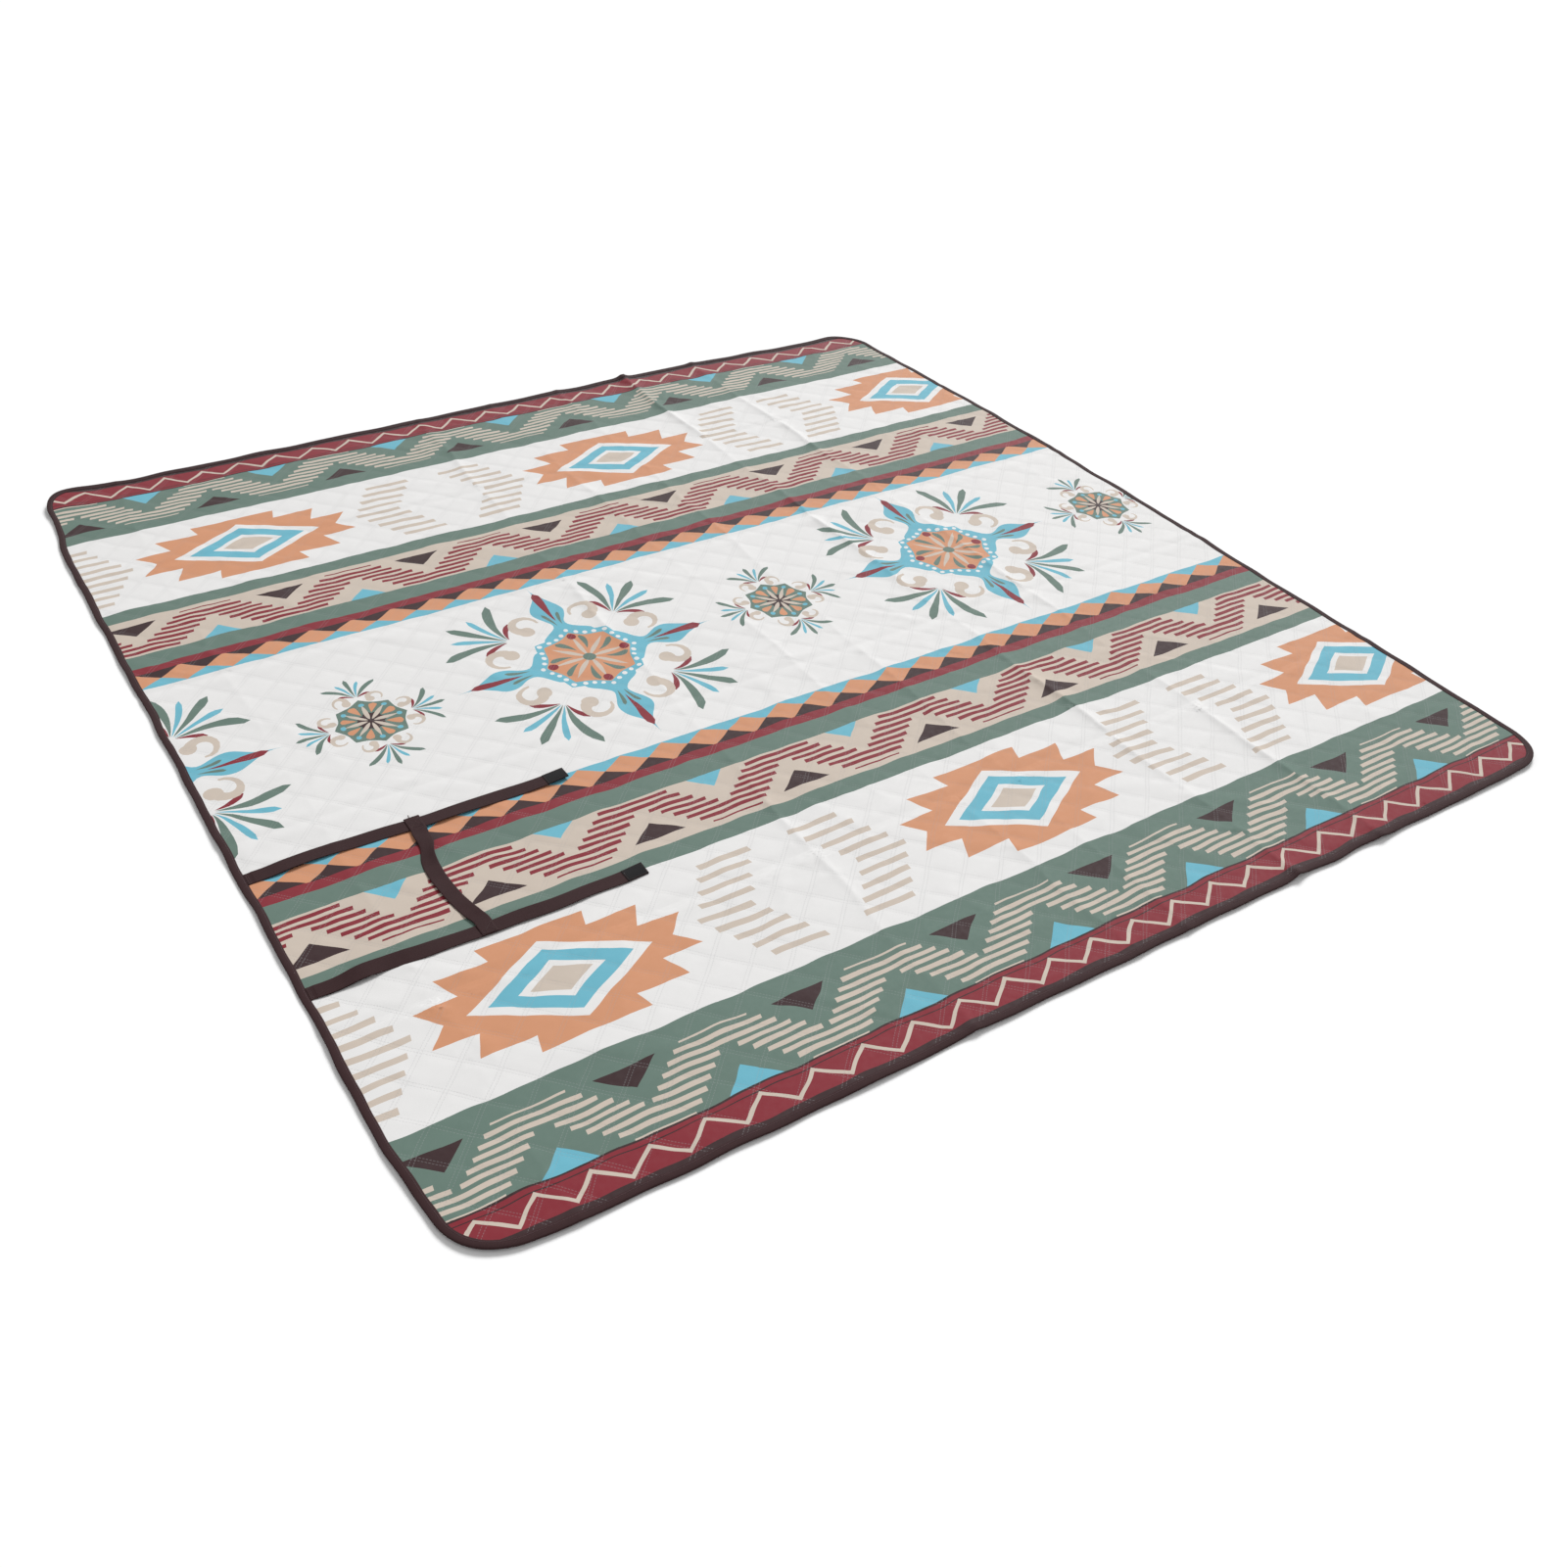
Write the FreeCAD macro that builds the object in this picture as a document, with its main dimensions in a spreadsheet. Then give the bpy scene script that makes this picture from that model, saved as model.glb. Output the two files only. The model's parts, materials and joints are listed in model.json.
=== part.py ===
"""Quilted camp blanket, two metres square, with a webbing carrying harness sewn into one edge.

Frame: +Z up, the blanket spread flat with its underside at z = 0, and the origin at its centre.
The printed bands run along X, the harness is sewn into the -X edge, and +Y is the far edge.
The blanket is cut at its four storage creases into five panels, so that it can fold.
All lengths are in millimetres.
"""

import FreeCAD, Part
import math
import os

import Sketcher

doc = FreeCAD.newDocument("camp_blanket")
sizes = doc.addObject("Spreadsheet::Sheet", "Sizes")

DRIVING_DIMENSIONS = (
    ("side_length", 2000, "whole blanket, along X and along Y"),
    ("corner_radius", 80, "outer corners of the blanket"),
    ("near_width", 404, "panel at the near edge, up to its crease"),
    ("carry_width", 416, "panel that carries the harness"),
    ("middle_width", 430, "panel across the centre of the print"),
    ("inner_width", 390, "panel inside the far one"),
    ("crease_gap", 0.4, "clearance between two panels at a crease"),
    ("backing_thick", 0.8, "coated waterproof underside"),
    ("wadding_thick", 1.8, "filling"),
    ("top_thick", 0.8, "printed top sheet"),
    ("tape_width", 12, "each leaf of the folded edge binding"),
    ("tape_thick", 0.5, "binding tape"),
    ("seam_clearance", 0.2, "between the raw edge of a layer and the binding"),
    ("thread_width", 0.8, "sewn row, seen from above"),
    ("thread_height", 0.25, "sewn row above the cloth"),
    ("seam_inset", 2.5, "binding's sewn row from the leaf's inner edge"),
    ("webbing_width", 25, "straps and handle"),
    ("webbing_thick", 1.2, "straps and handle"),
    ("strap_spacing", 254, "between the centre lines of the two straps"),
    ("strap_reach", 520, "blanket's outer edge to the strap's tip"),
    ("sewn_length", 10, "end of each strap that is sewn down"),
    ("bend_clearance", 0.3, "between two lengths of one strap"),
    ("tail_start", 310, "blanket's outer edge to the free tail of a strap"),
    ("handle_place", 267, "blanket's outer edge to the handle's centre line"),
    ("lay_clearance", 0.1, "between the top sheet and what lies on it"),
    ("hook_length", 36, "hook tape on the tip of a strap"),
    ("loop_start", 32, "blanket's outer edge to the loop tape"),
    ("loop_length", 60, "loop tape under the foot of a strap"),
    ("patch_thick", 0.8, "hook tape and loop tape"),
    ("stitch_margin", 3, "sewn row from the edge of what it holds"),
)


def fill_sizes():
    for row, (alias, value, meaning) in enumerate(DRIVING_DIMENSIONS, start=1):
        sizes.set(f"A{row}", alias)
        sizes.set(f"B{row}", str(value))
        sizes.set(f"C{row}", meaning)
        sizes.setAlias(f"B{row}", alias)
    doc.recompute()


fill_sizes()

# Places that several pieces share, as expressions on the sheet.
HALF = "(Sizes.side_length / 2)"
TOP = "(Sizes.backing_thick + Sizes.wadding_thick + Sizes.top_thick)"
EDGE_INSET = "(Sizes.tape_thick + Sizes.seam_clearance)"
LEAF_INSET = "(Sizes.tape_width + Sizes.seam_clearance)"
STRAP_BOTTOM = f"({TOP} + Sizes.lay_clearance + Sizes.patch_thick)"
STRAP_TOP = f"({STRAP_BOTTOM} + Sizes.webbing_thick)"
CARRY_CENTRE = f"(-{HALF} + Sizes.near_width + Sizes.carry_width / 2)"

CREASES = (
    f"(-{HALF} + Sizes.near_width)",
    f"(-{HALF} + Sizes.near_width + Sizes.carry_width)",
    f"(-{HALF} + Sizes.near_width + Sizes.carry_width + Sizes.middle_width)",
    f"(-{HALF} + Sizes.near_width + Sizes.carry_width + Sizes.middle_width + Sizes.inner_width)",
)
# Each panel: name, the Y of its near side and of its far side.
PANELS = (
    ("near", f"(-{HALF})", CREASES[0]),
    ("carry", CREASES[0], CREASES[1]),
    ("middle", CREASES[1], CREASES[2]),
    ("inner", CREASES[2], CREASES[3]),
    ("far", CREASES[3], HALF),
)
STRAP_LINES = (
    ("far", f"({CARRY_CENTRE} + Sizes.strap_spacing / 2)"),
    ("near", f"({CARRY_CENTRE} - Sizes.strap_spacing / 2)"),
)

nodes = []


def node(label, piece):
    """Names a finished piece, and lists it for export."""
    piece.Label = label
    nodes.append(piece)
    return piece


def bind(piece, **expressions):
    for name, expression in expressions.items():
        piece.setExpression(name, expression)


def place(piece, x, y, z):
    piece.setExpression("Placement.Base.x", x)
    piece.setExpression("Placement.Base.y", y)
    piece.setExpression("Placement.Base.z", z)
    return piece


def box(name, x, y, z, along_x, along_y, along_z):
    piece = doc.addObject("Part::Box", name)
    bind(piece, Length=along_x, Width=along_y, Height=along_z)
    return place(piece, x, y, z)


def centred_box(name, x, y, z, along_x, along_y, along_z):
    return box(name, f"{x} - ({along_x}) / 2", f"{y} - ({along_y}) / 2", z, along_x, along_y, along_z)


def quarter_disc(name, x, y, z, radius, along_z, start_angle):
    piece = doc.addObject("Part::Cylinder", name)
    piece.Angle = 90
    bind(piece, Radius=radius, Height=along_z)
    piece.Placement.Rotation = FreeCAD.Rotation(FreeCAD.Vector(0, 0, 1), start_angle)
    return place(piece, x, y, z)


def cut(name, base, tool):
    piece = doc.addObject("Part::Cut", name)
    piece.Base = base
    piece.Tool = tool
    return piece


def fuse(name, pieces):
    piece = doc.addObject("Part::MultiFuse", name)
    piece.Shapes = pieces
    piece.Refine = True
    return piece


def group(name, pieces):
    piece = doc.addObject("Part::Compound", name)
    piece.Links = pieces
    return piece


# Sketched pieces -----------------------------------------------------------------------------


def new_body(name, x, y, z):
    return place(doc.addObject("PartDesign::Body", name), x, y, z)


def sketched_rectangle(body, name, along_x, along_y, left="0", bottom="0"):
    """A rectangle on the body's XY plane, with its lower left corner at left, bottom."""
    sketch = body.newObject("Sketcher::SketchObject", name)
    plane = next(f for f in body.Origin.OriginFeatures if f.Role == "XY_Plane")
    sketch.AttachmentSupport = [(plane, "")]
    sketch.MapMode = "FlatFace"
    # Drawn at a rough size first: the constraints below set the real one.
    corners = [FreeCAD.Vector(x, y, 0) for x, y in ((1, 1), (9, 1), (9, 9), (1, 9))]
    for first, second in zip(corners, corners[1:] + corners[:1]):
        sketch.addGeometry(Part.LineSegment(first, second), False)
    for line in range(4):
        sketch.addConstraint(Sketcher.Constraint("Coincident", line, 2, (line + 1) % 4, 1))
    for line, direction in enumerate(("Horizontal", "Vertical", "Horizontal", "Vertical")):
        sketch.addConstraint(Sketcher.Constraint(direction, line))
    named = [
        ("along_x", ("DistanceX", 0, 1, 0, 2, 8.0), along_x),
        ("along_y", ("DistanceY", 1, 1, 1, 2, 8.0), along_y),
    ]
    if left == "0":
        sketch.addConstraint(Sketcher.Constraint("PointOnObject", 0, 1, -2))
    else:
        named.append(("left", ("DistanceX", -1, 1, 0, 1, 1.0), left))
    if bottom == "0":
        sketch.addConstraint(Sketcher.Constraint("PointOnObject", 0, 1, -1))
    else:
        named.append(("bottom", ("DistanceY", -1, 1, 0, 1, 1.0), bottom))
    for constraint_name, constraint, expression in named:
        index = sketch.addConstraint(Sketcher.Constraint(*constraint))
        sketch.renameConstraint(index, constraint_name)
        sketch.setExpression(f"Constraints.{constraint_name}", expression)
    return sketch


def pad(body, name, sketch, length, downwards=False):
    feature = body.newObject("PartDesign::Pad", name)
    feature.Profile = sketch
    feature.Reversed = downwards
    feature.setExpression("Length", length)
    doc.recompute()
    return feature


def round_corners(body, name, solid, far_side, below, radius):
    """Rounds the two upright edges at one Y side of the solid, above or below its sketch plane."""
    upright = []
    for index, edge in enumerate(solid.Shape.Edges, start=1):
        bounds = edge.BoundBox
        if bounds.ZLength > 1e-6 and bounds.XLength < 1e-6 and bounds.YLength < 1e-6:
            if (edge.CenterOfMass.z < 0) == below:
                upright.append((edge.CenterOfMass.y, f"Edge{index}"))
    outermost = max(y for y, _ in upright) if far_side else min(y for y, _ in upright)
    feature = body.newObject("PartDesign::Fillet", name)
    feature.Base = (solid, [edge for y, edge in upright if abs(y - outermost) < 1e-6])
    feature.setExpression("Radius", radius)
    doc.recompute()
    return feature


# The quilted layers ---------------------------------------------------------------------------


def insets(panel, edge_inset):
    """How far a layer stays inside its panel, on the near side and on the far side."""
    crease = "Sizes.crease_gap / 2"
    near_side = edge_inset if panel == "near" else crease
    far_side = edge_inset if panel == "far" else crease
    return near_side, far_side


def plain_layer(label, panel, low, high, z, thick):
    near_side, far_side = insets(panel, EDGE_INSET)
    body = new_body(label, f"-{HALF} + {EDGE_INSET}", f"{low} + {near_side}", z)
    along_x = f"Sizes.side_length - 2 * {EDGE_INSET}"
    along_y = f"{high} - {low} - {near_side} - {far_side}"
    outline = sketched_rectangle(body, f"{label}_outline", along_x, along_y)
    solid = pad(body, f"{label}_sheet", outline, thick)
    if panel in ("near", "far"):
        radius = f"Sizes.corner_radius - {EDGE_INSET}"
        round_corners(body, f"{label}_corners", solid, panel == "far", False, radius)
    return node(label, body)


def backing_layer(label, panel, low, high):
    """The underside, thinned along the outer edges, where the binding's lower leaf lies flush."""
    near_side, far_side = insets(panel, EDGE_INSET)
    body = new_body(label, f"-{HALF} + {EDGE_INSET}", f"{low} + {near_side}", "Sizes.tape_thick")
    along_x = f"Sizes.side_length - 2 * {EDGE_INSET}"
    along_y = f"{high} - {low} - {near_side} - {far_side}"
    rounded = panel in ("near", "far")
    far = panel == "far"

    leaf = f"{LEAF_INSET} - {EDGE_INSET}"
    near_leaf = leaf if panel == "near" else "0"
    far_leaf = leaf if far else "0"
    field = sketched_rectangle(
        body,
        f"{label}_field_outline",
        f"{along_x} - 2 * ({leaf})",
        f"{along_y} - ({near_leaf}) - ({far_leaf})",
        left=leaf,
        bottom=near_leaf,
    )
    solid = pad(body, f"{label}_field", field, "Sizes.tape_thick", downwards=True)
    if rounded:
        radius = f"Sizes.corner_radius - {LEAF_INSET}"
        round_corners(body, f"{label}_field_corners", solid, far, True, radius)

    margin = sketched_rectangle(body, f"{label}_margin_outline", along_x, along_y)
    solid = pad(body, f"{label}_margin", margin, "Sizes.backing_thick - Sizes.tape_thick")
    if rounded:
        radius = f"Sizes.corner_radius - {EDGE_INSET}"
        round_corners(body, f"{label}_margin_corners", solid, far, False, radius)
    return node(label, body)


def build_layers():
    wadding_top = "Sizes.backing_thick + Sizes.wadding_thick"
    for panel, low, high in PANELS:
        backing_layer(f"backing_{panel}", panel, low, high)
        plain_layer(f"wadding_{panel}", panel, low, high, "Sizes.backing_thick", "Sizes.wadding_thick")
        plain_layer(f"top_sheet_{panel}", panel, low, high, wadding_top, "Sizes.top_thick")


# The edge binding: tape folded round the raw edge, so that its section is a C -----------------


def folded_bar(name, side, start, along):
    """A straight length of folded tape. side is left or right along Y, near or far along X."""
    height = f"{TOP} + Sizes.tape_thick"
    slot_height = f"{TOP} - Sizes.tape_thick"
    width, floor = "Sizes.tape_width", "Sizes.tape_thick"
    if side in ("left", "near"):
        outer = f"-{HALF}"
        slot_outer = f"{outer} + Sizes.tape_thick"
    else:
        outer = f"{HALF} - {width}"
        slot_outer = f"{outer} - Sizes.tape_thick"
    if side in ("left", "right"):
        tape = box(f"{name}_tape", outer, start, "0", width, along, height)
        slot = box(f"{name}_slot", slot_outer, start, floor, width, along, slot_height)
    else:
        tape = box(f"{name}_tape", start, outer, "0", along, width, height)
        slot = box(f"{name}_slot", start, slot_outer, floor, along, width, slot_height)
    return cut(name, tape, slot)


CORNER_ANGLES = {("near", "left"): 180, ("near", "right"): 270, ("far", "right"): 0, ("far", "left"): 90}


def corner_centre(end, side):
    inner = f"({HALF} - Sizes.corner_radius)"
    x = f"-{inner}" if side == "left" else inner
    y = f"-{inner}" if end == "near" else inner
    return x, y


def folded_corner(name, end, side):
    x, y = corner_centre(end, side)
    angle = CORNER_ANGLES[end, side]
    height = f"{TOP} + Sizes.tape_thick"
    inner_radius = "Sizes.corner_radius - Sizes.tape_width"
    slot_radius = "Sizes.corner_radius - Sizes.tape_thick"
    disc = quarter_disc(f"{name}_disc", x, y, "0", "Sizes.corner_radius", height, angle)
    field = quarter_disc(f"{name}_field", x, y, "0", inner_radius, height, angle)
    ring = cut(f"{name}_ring", disc, field)
    slot_height = f"{TOP} - Sizes.tape_thick"
    slot = quarter_disc(f"{name}_slot", x, y, "Sizes.tape_thick", slot_radius, slot_height, angle)
    return cut(name, ring, slot)


def side_run(panel, low, high):
    """Where the straight binding of a panel's left and right sides starts, and how long it is."""
    crease = "Sizes.crease_gap / 2"
    near_side = "Sizes.corner_radius" if panel == "near" else crease
    far_side = "Sizes.corner_radius" if panel == "far" else crease
    return f"{low} + {near_side}", f"{high} - {low} - {near_side} - {far_side}"


def build_binding():
    for panel, low, high in PANELS:
        start, along = side_run(panel, low, high)
        for side in ("left", "right"):
            label = f"binding_{side}_{panel}"
            if panel in ("near", "far"):
                bar = folded_bar(f"{label}_bar", side, start, along)
                corner = folded_corner(f"{label}_corner", panel, side)
                node(label, fuse(label, [bar, corner]))
            else:
                node(label, folded_bar(label, side, start, along))
    start = f"-{HALF} + Sizes.corner_radius"
    along = "Sizes.side_length - 2 * Sizes.corner_radius"
    for end in ("near", "far"):
        node(f"binding_{end}_edge", folded_bar(f"binding_{end}_edge", end, start, along))


# Sewn rows: each is a low ridge of thread on the cloth it holds -------------------------------


def seam_corner(name, end, side):
    x, y = corner_centre(end, side)
    angle = CORNER_ANGLES[end, side]
    level = f"{TOP} + Sizes.tape_thick"
    inner_radius = "Sizes.corner_radius - Sizes.tape_width + Sizes.seam_inset"
    outer_radius = f"{inner_radius} + Sizes.thread_width"
    disc = quarter_disc(f"{name}_disc", x, y, level, outer_radius, "Sizes.thread_height", angle)
    hollow = quarter_disc(f"{name}_hollow", x, y, level, inner_radius, "Sizes.thread_height", angle)
    return cut(name, disc, hollow)


def build_binding_seams():
    level = f"{TOP} + Sizes.tape_thick"
    to_row = "Sizes.tape_width - Sizes.seam_inset - Sizes.thread_width"
    low_row = f"-{HALF} + {to_row}"
    high_row = f"{HALF} - Sizes.tape_width + Sizes.seam_inset"
    width, height = "Sizes.thread_width", "Sizes.thread_height"
    for panel, low, high in PANELS:
        label = f"binding_seam_{panel}"
        start, along = side_run(panel, low, high)
        rows = [
            box(f"{label}_left", low_row, start, level, width, along, height),
            box(f"{label}_right", high_row, start, level, width, along, height),
        ]
        if panel in ("near", "far"):
            end_start = f"-{HALF} + Sizes.corner_radius"
            end_along = "Sizes.side_length - 2 * Sizes.corner_radius"
            end_row = low_row if panel == "near" else high_row
            rows.append(box(f"{label}_end", end_start, end_row, level, end_along, width, height))
            for side in ("left", "right"):
                rows.append(seam_corner(f"{label}_{side}_corner", panel, side))
        node(label, group(label, rows))


def stitched_border(name, x, y, level, along_x, along_y):
    """Four sewn rows round a rectangle centred at x, y."""
    width, height = "Sizes.thread_width", "Sizes.thread_height"
    across_x = f"({along_x} - Sizes.thread_width) / 2"
    across_y = f"({along_y} - Sizes.thread_width) / 2"
    rows = []
    for side, sign in (("low", "-"), ("high", "+")):
        row_y = f"{y} {sign} {across_y}"
        row_x = f"{x} {sign} {across_x}"
        rows.append(centred_box(f"{name}_x_{side}", x, row_y, level, along_x, width, height))
        rows.append(centred_box(f"{name}_y_{side}", row_x, y, level, width, along_y, height))
    return rows


def diagonal_row(name, x, y, level, along, angle):
    """One sewn row through x, y at an angle to X."""
    piece = doc.addObject("Part::Box", name)
    bind(piece, Length=along, Width="Sizes.thread_width", Height="Sizes.thread_height")
    piece.Placement.Rotation = FreeCAD.Rotation(FreeCAD.Vector(0, 0, 1), angle)
    turn = math.radians(angle)
    half_length = f"({along}) / 2"
    half_width = "Sizes.thread_width / 2"
    start_x = f"{x} - {half_length} * {math.cos(turn)} + {half_width} * {math.sin(turn)}"
    start_y = f"{y} - {half_length} * {math.sin(turn)} - {half_width} * {math.cos(turn)}"
    return place(piece, start_x, start_y, level)


DIAGONAL_REACH = 0.94 * math.sqrt(2)  # a diagonal row's length by the square's side, ends inside it


def crossed_stitches(label, x, y, level):
    """The square with a cross that holds an end of the handle on its strap."""
    side = "(Sizes.webbing_width - 2 * Sizes.stitch_margin)"
    rows = stitched_border(label, x, y, level, side, side)
    diagonal = f"{side} * {DIAGONAL_REACH}"
    for angle in (45, 135):
        rows.append(diagonal_row(f"{label}_diagonal_{angle}", x, y, level, diagonal, angle))
    return node(label, fuse(label, rows))


def foot_tack(label, y):
    """Three short rows across the sewn end of a strap."""
    level = f"{TOP} + Sizes.webbing_thick"
    along_y = "Sizes.webbing_width - Sizes.stitch_margin"
    width, height = "Sizes.thread_width", "Sizes.thread_height"
    rows = []
    for number in (1, 2, 3):
        x = f"-{HALF} + Sizes.tape_width + Sizes.sewn_length * {number} / 4"
        rows.append(centred_box(f"{label}_{number}", x, y, level, width, along_y, height))
    return node(label, group(label, rows))


# The harness ----------------------------------------------------------------------------------


def webbing(label, x_start, x_end, y_start, y_end, z):
    """A flat length of webbing, cut square."""
    body = new_body(label, x_start, y_start, z)
    along_x = f"({x_end}) - ({x_start})"
    along_y = f"({y_end}) - ({y_start})"
    outline = sketched_rectangle(body, f"{label}_outline", along_x, along_y)
    pad(body, f"{label}_tape", outline, "Sizes.webbing_thick")
    return node(label, body)


def build_strap(which, line):
    low = f"{line} - Sizes.webbing_width / 2"
    high = f"{line} + Sizes.webbing_width / 2"
    foot_start = f"-{HALF} + Sizes.tape_width"
    foot_end = f"{foot_start} + Sizes.sewn_length"
    tail_start = f"-{HALF} + Sizes.tail_start"
    tip = f"-{HALF} + Sizes.strap_reach"
    webbing(f"strap_foot_{which}", foot_start, foot_end, low, high, TOP)
    foot_tack(f"strap_foot_stitches_{which}", line)
    webbing(f"strap_{which}", f"{foot_end} + Sizes.bend_clearance", tail_start, low, high, STRAP_BOTTOM)
    webbing(f"strap_tail_{which}", f"{tail_start} + Sizes.bend_clearance", tip, low, high, STRAP_BOTTOM)

    width, thick = "Sizes.webbing_width", "Sizes.patch_thick"
    loop_x = f"-{HALF} + Sizes.loop_start"
    loop_z = f"{STRAP_BOTTOM} - {thick}"
    loop = f"loop_patch_{which}"
    node(loop, box(loop, loop_x, low, loop_z, "Sizes.loop_length", width, thick))
    hook = f"hook_patch_{which}"
    node(hook, box(hook, f"{tip} - Sizes.hook_length", low, STRAP_TOP, "Sizes.hook_length", width, thick))
    label = f"hook_stitches_{which}"
    centre_x = f"{tip} - Sizes.hook_length / 2"
    level = f"{STRAP_TOP} + {thick}"
    border_x = "(Sizes.hook_length - Sizes.stitch_margin)"
    border_y = "(Sizes.webbing_width - Sizes.stitch_margin)"
    node(label, fuse(label, stitched_border(label, centre_x, line, level, border_x, border_y)))


def build_handle():
    centre = f"(-{HALF} + Sizes.handle_place)"
    low = f"{centre} - Sizes.webbing_width / 2"
    high = f"{centre} + Sizes.webbing_width / 2"
    half = "Sizes.webbing_width / 2"
    for which, line in STRAP_LINES:
        webbing(f"handle_end_{which}", low, high, f"{line} - {half}", f"{line} + {half}", STRAP_TOP)
        crossed_stitches(f"handle_stitches_{which}", centre, line, f"{STRAP_TOP} + Sizes.webbing_thick")
    far_line, near_line = STRAP_LINES[0][1], STRAP_LINES[1][1]
    start = f"{near_line} + {half} + Sizes.bend_clearance"
    end = f"{far_line} - {half} - Sizes.bend_clearance"
    webbing("carry_handle", low, high, start, end, STRAP_TOP)


def check_and_export():
    doc.recompute()
    for piece in doc.Objects:
        if "Invalid" in piece.State or "Error" in piece.State:
            raise RuntimeError(f"{piece.Label} did not build: {piece.State}")
    os.makedirs("parts", exist_ok=True)
    for piece in nodes:
        shape = piece.Shape
        if shape.isNull() or not shape.isValid():
            raise RuntimeError(f"{piece.Label} has no valid shape")
        shape.exportStep(f"parts/{piece.Label}.step")
        print(f"{piece.Label}: {len(shape.Solids)} solid(s), {shape.Volume / 1000:.2f} cm3")


build_layers()
build_binding()
build_binding_seams()
for strap_name, strap_line in STRAP_LINES:
    build_strap(strap_name, strap_line)
build_handle()
check_and_export()
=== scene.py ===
"""The looks of a quilted camp blanket: printed top sheet, wadding, coated backing, edge binding, and a
webbing harness with a carrying handle.

Everything is in metres, +Z up, with the blanket spread flat. Its print is made of the cloth's own
faces: each colour of ink is a material, and the outlines of the print are edges of the mesh.
"""

import json
import math

import bpy
import numpy as np
from mathutils import Matrix, Vector
from mathutils.geometry import delaunay_2d_cdt


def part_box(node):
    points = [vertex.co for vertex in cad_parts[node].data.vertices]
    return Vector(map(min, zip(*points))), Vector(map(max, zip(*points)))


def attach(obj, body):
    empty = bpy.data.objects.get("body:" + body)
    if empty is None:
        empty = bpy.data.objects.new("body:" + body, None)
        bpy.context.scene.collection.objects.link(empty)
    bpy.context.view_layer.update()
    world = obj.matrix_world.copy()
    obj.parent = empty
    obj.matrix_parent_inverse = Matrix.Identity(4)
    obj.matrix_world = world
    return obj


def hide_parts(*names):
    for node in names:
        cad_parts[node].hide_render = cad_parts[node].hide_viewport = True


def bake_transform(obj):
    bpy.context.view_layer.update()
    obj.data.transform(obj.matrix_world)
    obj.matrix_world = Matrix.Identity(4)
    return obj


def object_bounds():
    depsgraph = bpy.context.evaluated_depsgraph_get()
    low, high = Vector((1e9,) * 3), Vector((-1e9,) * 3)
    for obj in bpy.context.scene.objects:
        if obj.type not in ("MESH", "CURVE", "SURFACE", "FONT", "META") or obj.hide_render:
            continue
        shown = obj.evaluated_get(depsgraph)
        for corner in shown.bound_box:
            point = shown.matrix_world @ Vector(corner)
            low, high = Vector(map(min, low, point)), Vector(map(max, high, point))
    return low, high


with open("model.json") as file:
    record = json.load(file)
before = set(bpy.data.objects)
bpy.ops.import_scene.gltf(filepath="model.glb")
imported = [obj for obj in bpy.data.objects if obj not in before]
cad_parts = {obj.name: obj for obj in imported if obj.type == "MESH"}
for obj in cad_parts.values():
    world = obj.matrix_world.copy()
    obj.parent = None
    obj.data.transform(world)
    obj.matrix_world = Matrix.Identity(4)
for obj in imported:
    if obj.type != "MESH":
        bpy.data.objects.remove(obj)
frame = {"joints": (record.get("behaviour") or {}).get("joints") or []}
CAD_BOX = [list(map(float, corner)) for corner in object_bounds()]
JOINTS = {joint["name"]: joint for joint in frame["joints"]}
MM = 0.001

# Sizes and places, read from the frame -------------------------------------------------------

PANELS = ("near", "carry", "middle", "inner", "far")
HALF = CAD_BOX[1][0]
CORNER_RADIUS = (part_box("binding_left_near")[1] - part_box("binding_left_near")[0]).x
TAPE_LOW, TAPE_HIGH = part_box("binding_left_middle")
TAPE_WIDTH = (TAPE_HIGH - TAPE_LOW).x
EDGE_THICK = TAPE_HIGH.z
CLOTH_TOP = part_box("top_sheet_middle")[1].z
WADDING_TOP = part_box("wadding_middle")[1].z
BACKING_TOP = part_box("backing_middle")[1].z
TAPE_THICK = EDGE_THICK - CLOTH_TOP
EDGE_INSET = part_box("top_sheet_middle")[0].x + HALF
CREASE_Y = {name: JOINTS[f"crease_{name}"]["pos_m"][1] for name in ("near", "middle", "inner", "far")}
# Which way from its crease each panel's cloth bends: along Y, +1 or -1.
FOLD_TOWARD = {"near": -1, "middle": 1, "inner": 1, "far": 1}
PANEL_SPAN = {
    "near": (-HALF, CREASE_Y["near"]),
    "carry": (CREASE_Y["near"], CREASE_Y["middle"]),
    "middle": (CREASE_Y["middle"], CREASE_Y["inner"]),
    "inner": (CREASE_Y["inner"], CREASE_Y["far"]),
    "far": (CREASE_Y["far"], HALF),
}


def smooth(values, low, high):
    """0 below low, 1 above high, and smooth in between."""
    t = np.clip((values - low) / (high - low), 0, 1)
    return t * t * (3 - 2 * t)


def linear(hex_colour):
    """A colour as it is written for a screen, turned into the shader's own scale."""
    values = [int(hex_colour[i:i + 2], 16) / 255 for i in (1, 3, 5)]
    return tuple(((v + 0.055) / 1.055) ** 2.4 if v > 0.04045 else v / 12.92 for v in values) + (1,)


# How the cloth lies ---------------------------------------------------------------------------

# Ridges left by rolling the folded blanket up: x at the far edge, x at the near edge, height.
STORAGE_RIDGES = (
    (0.324, 0.374, 5.2 * MM),
    (0.518, 0.562, 4.4 * MM),
    (0.150, 0.138, 2.2 * MM),
    (-0.190, -0.255, 2.8 * MM),
    (-0.020, 0.038, 1.8 * MM),
    (-0.860, -0.850, 1.0 * MM),
)
RIDGE_WIDTH = 6.5 * MM
RIDGE_FOOT = 24 * MM
RIDGE_SWAY = 3 * MM
RIDGE_SWAY_RATE = 21
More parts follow.
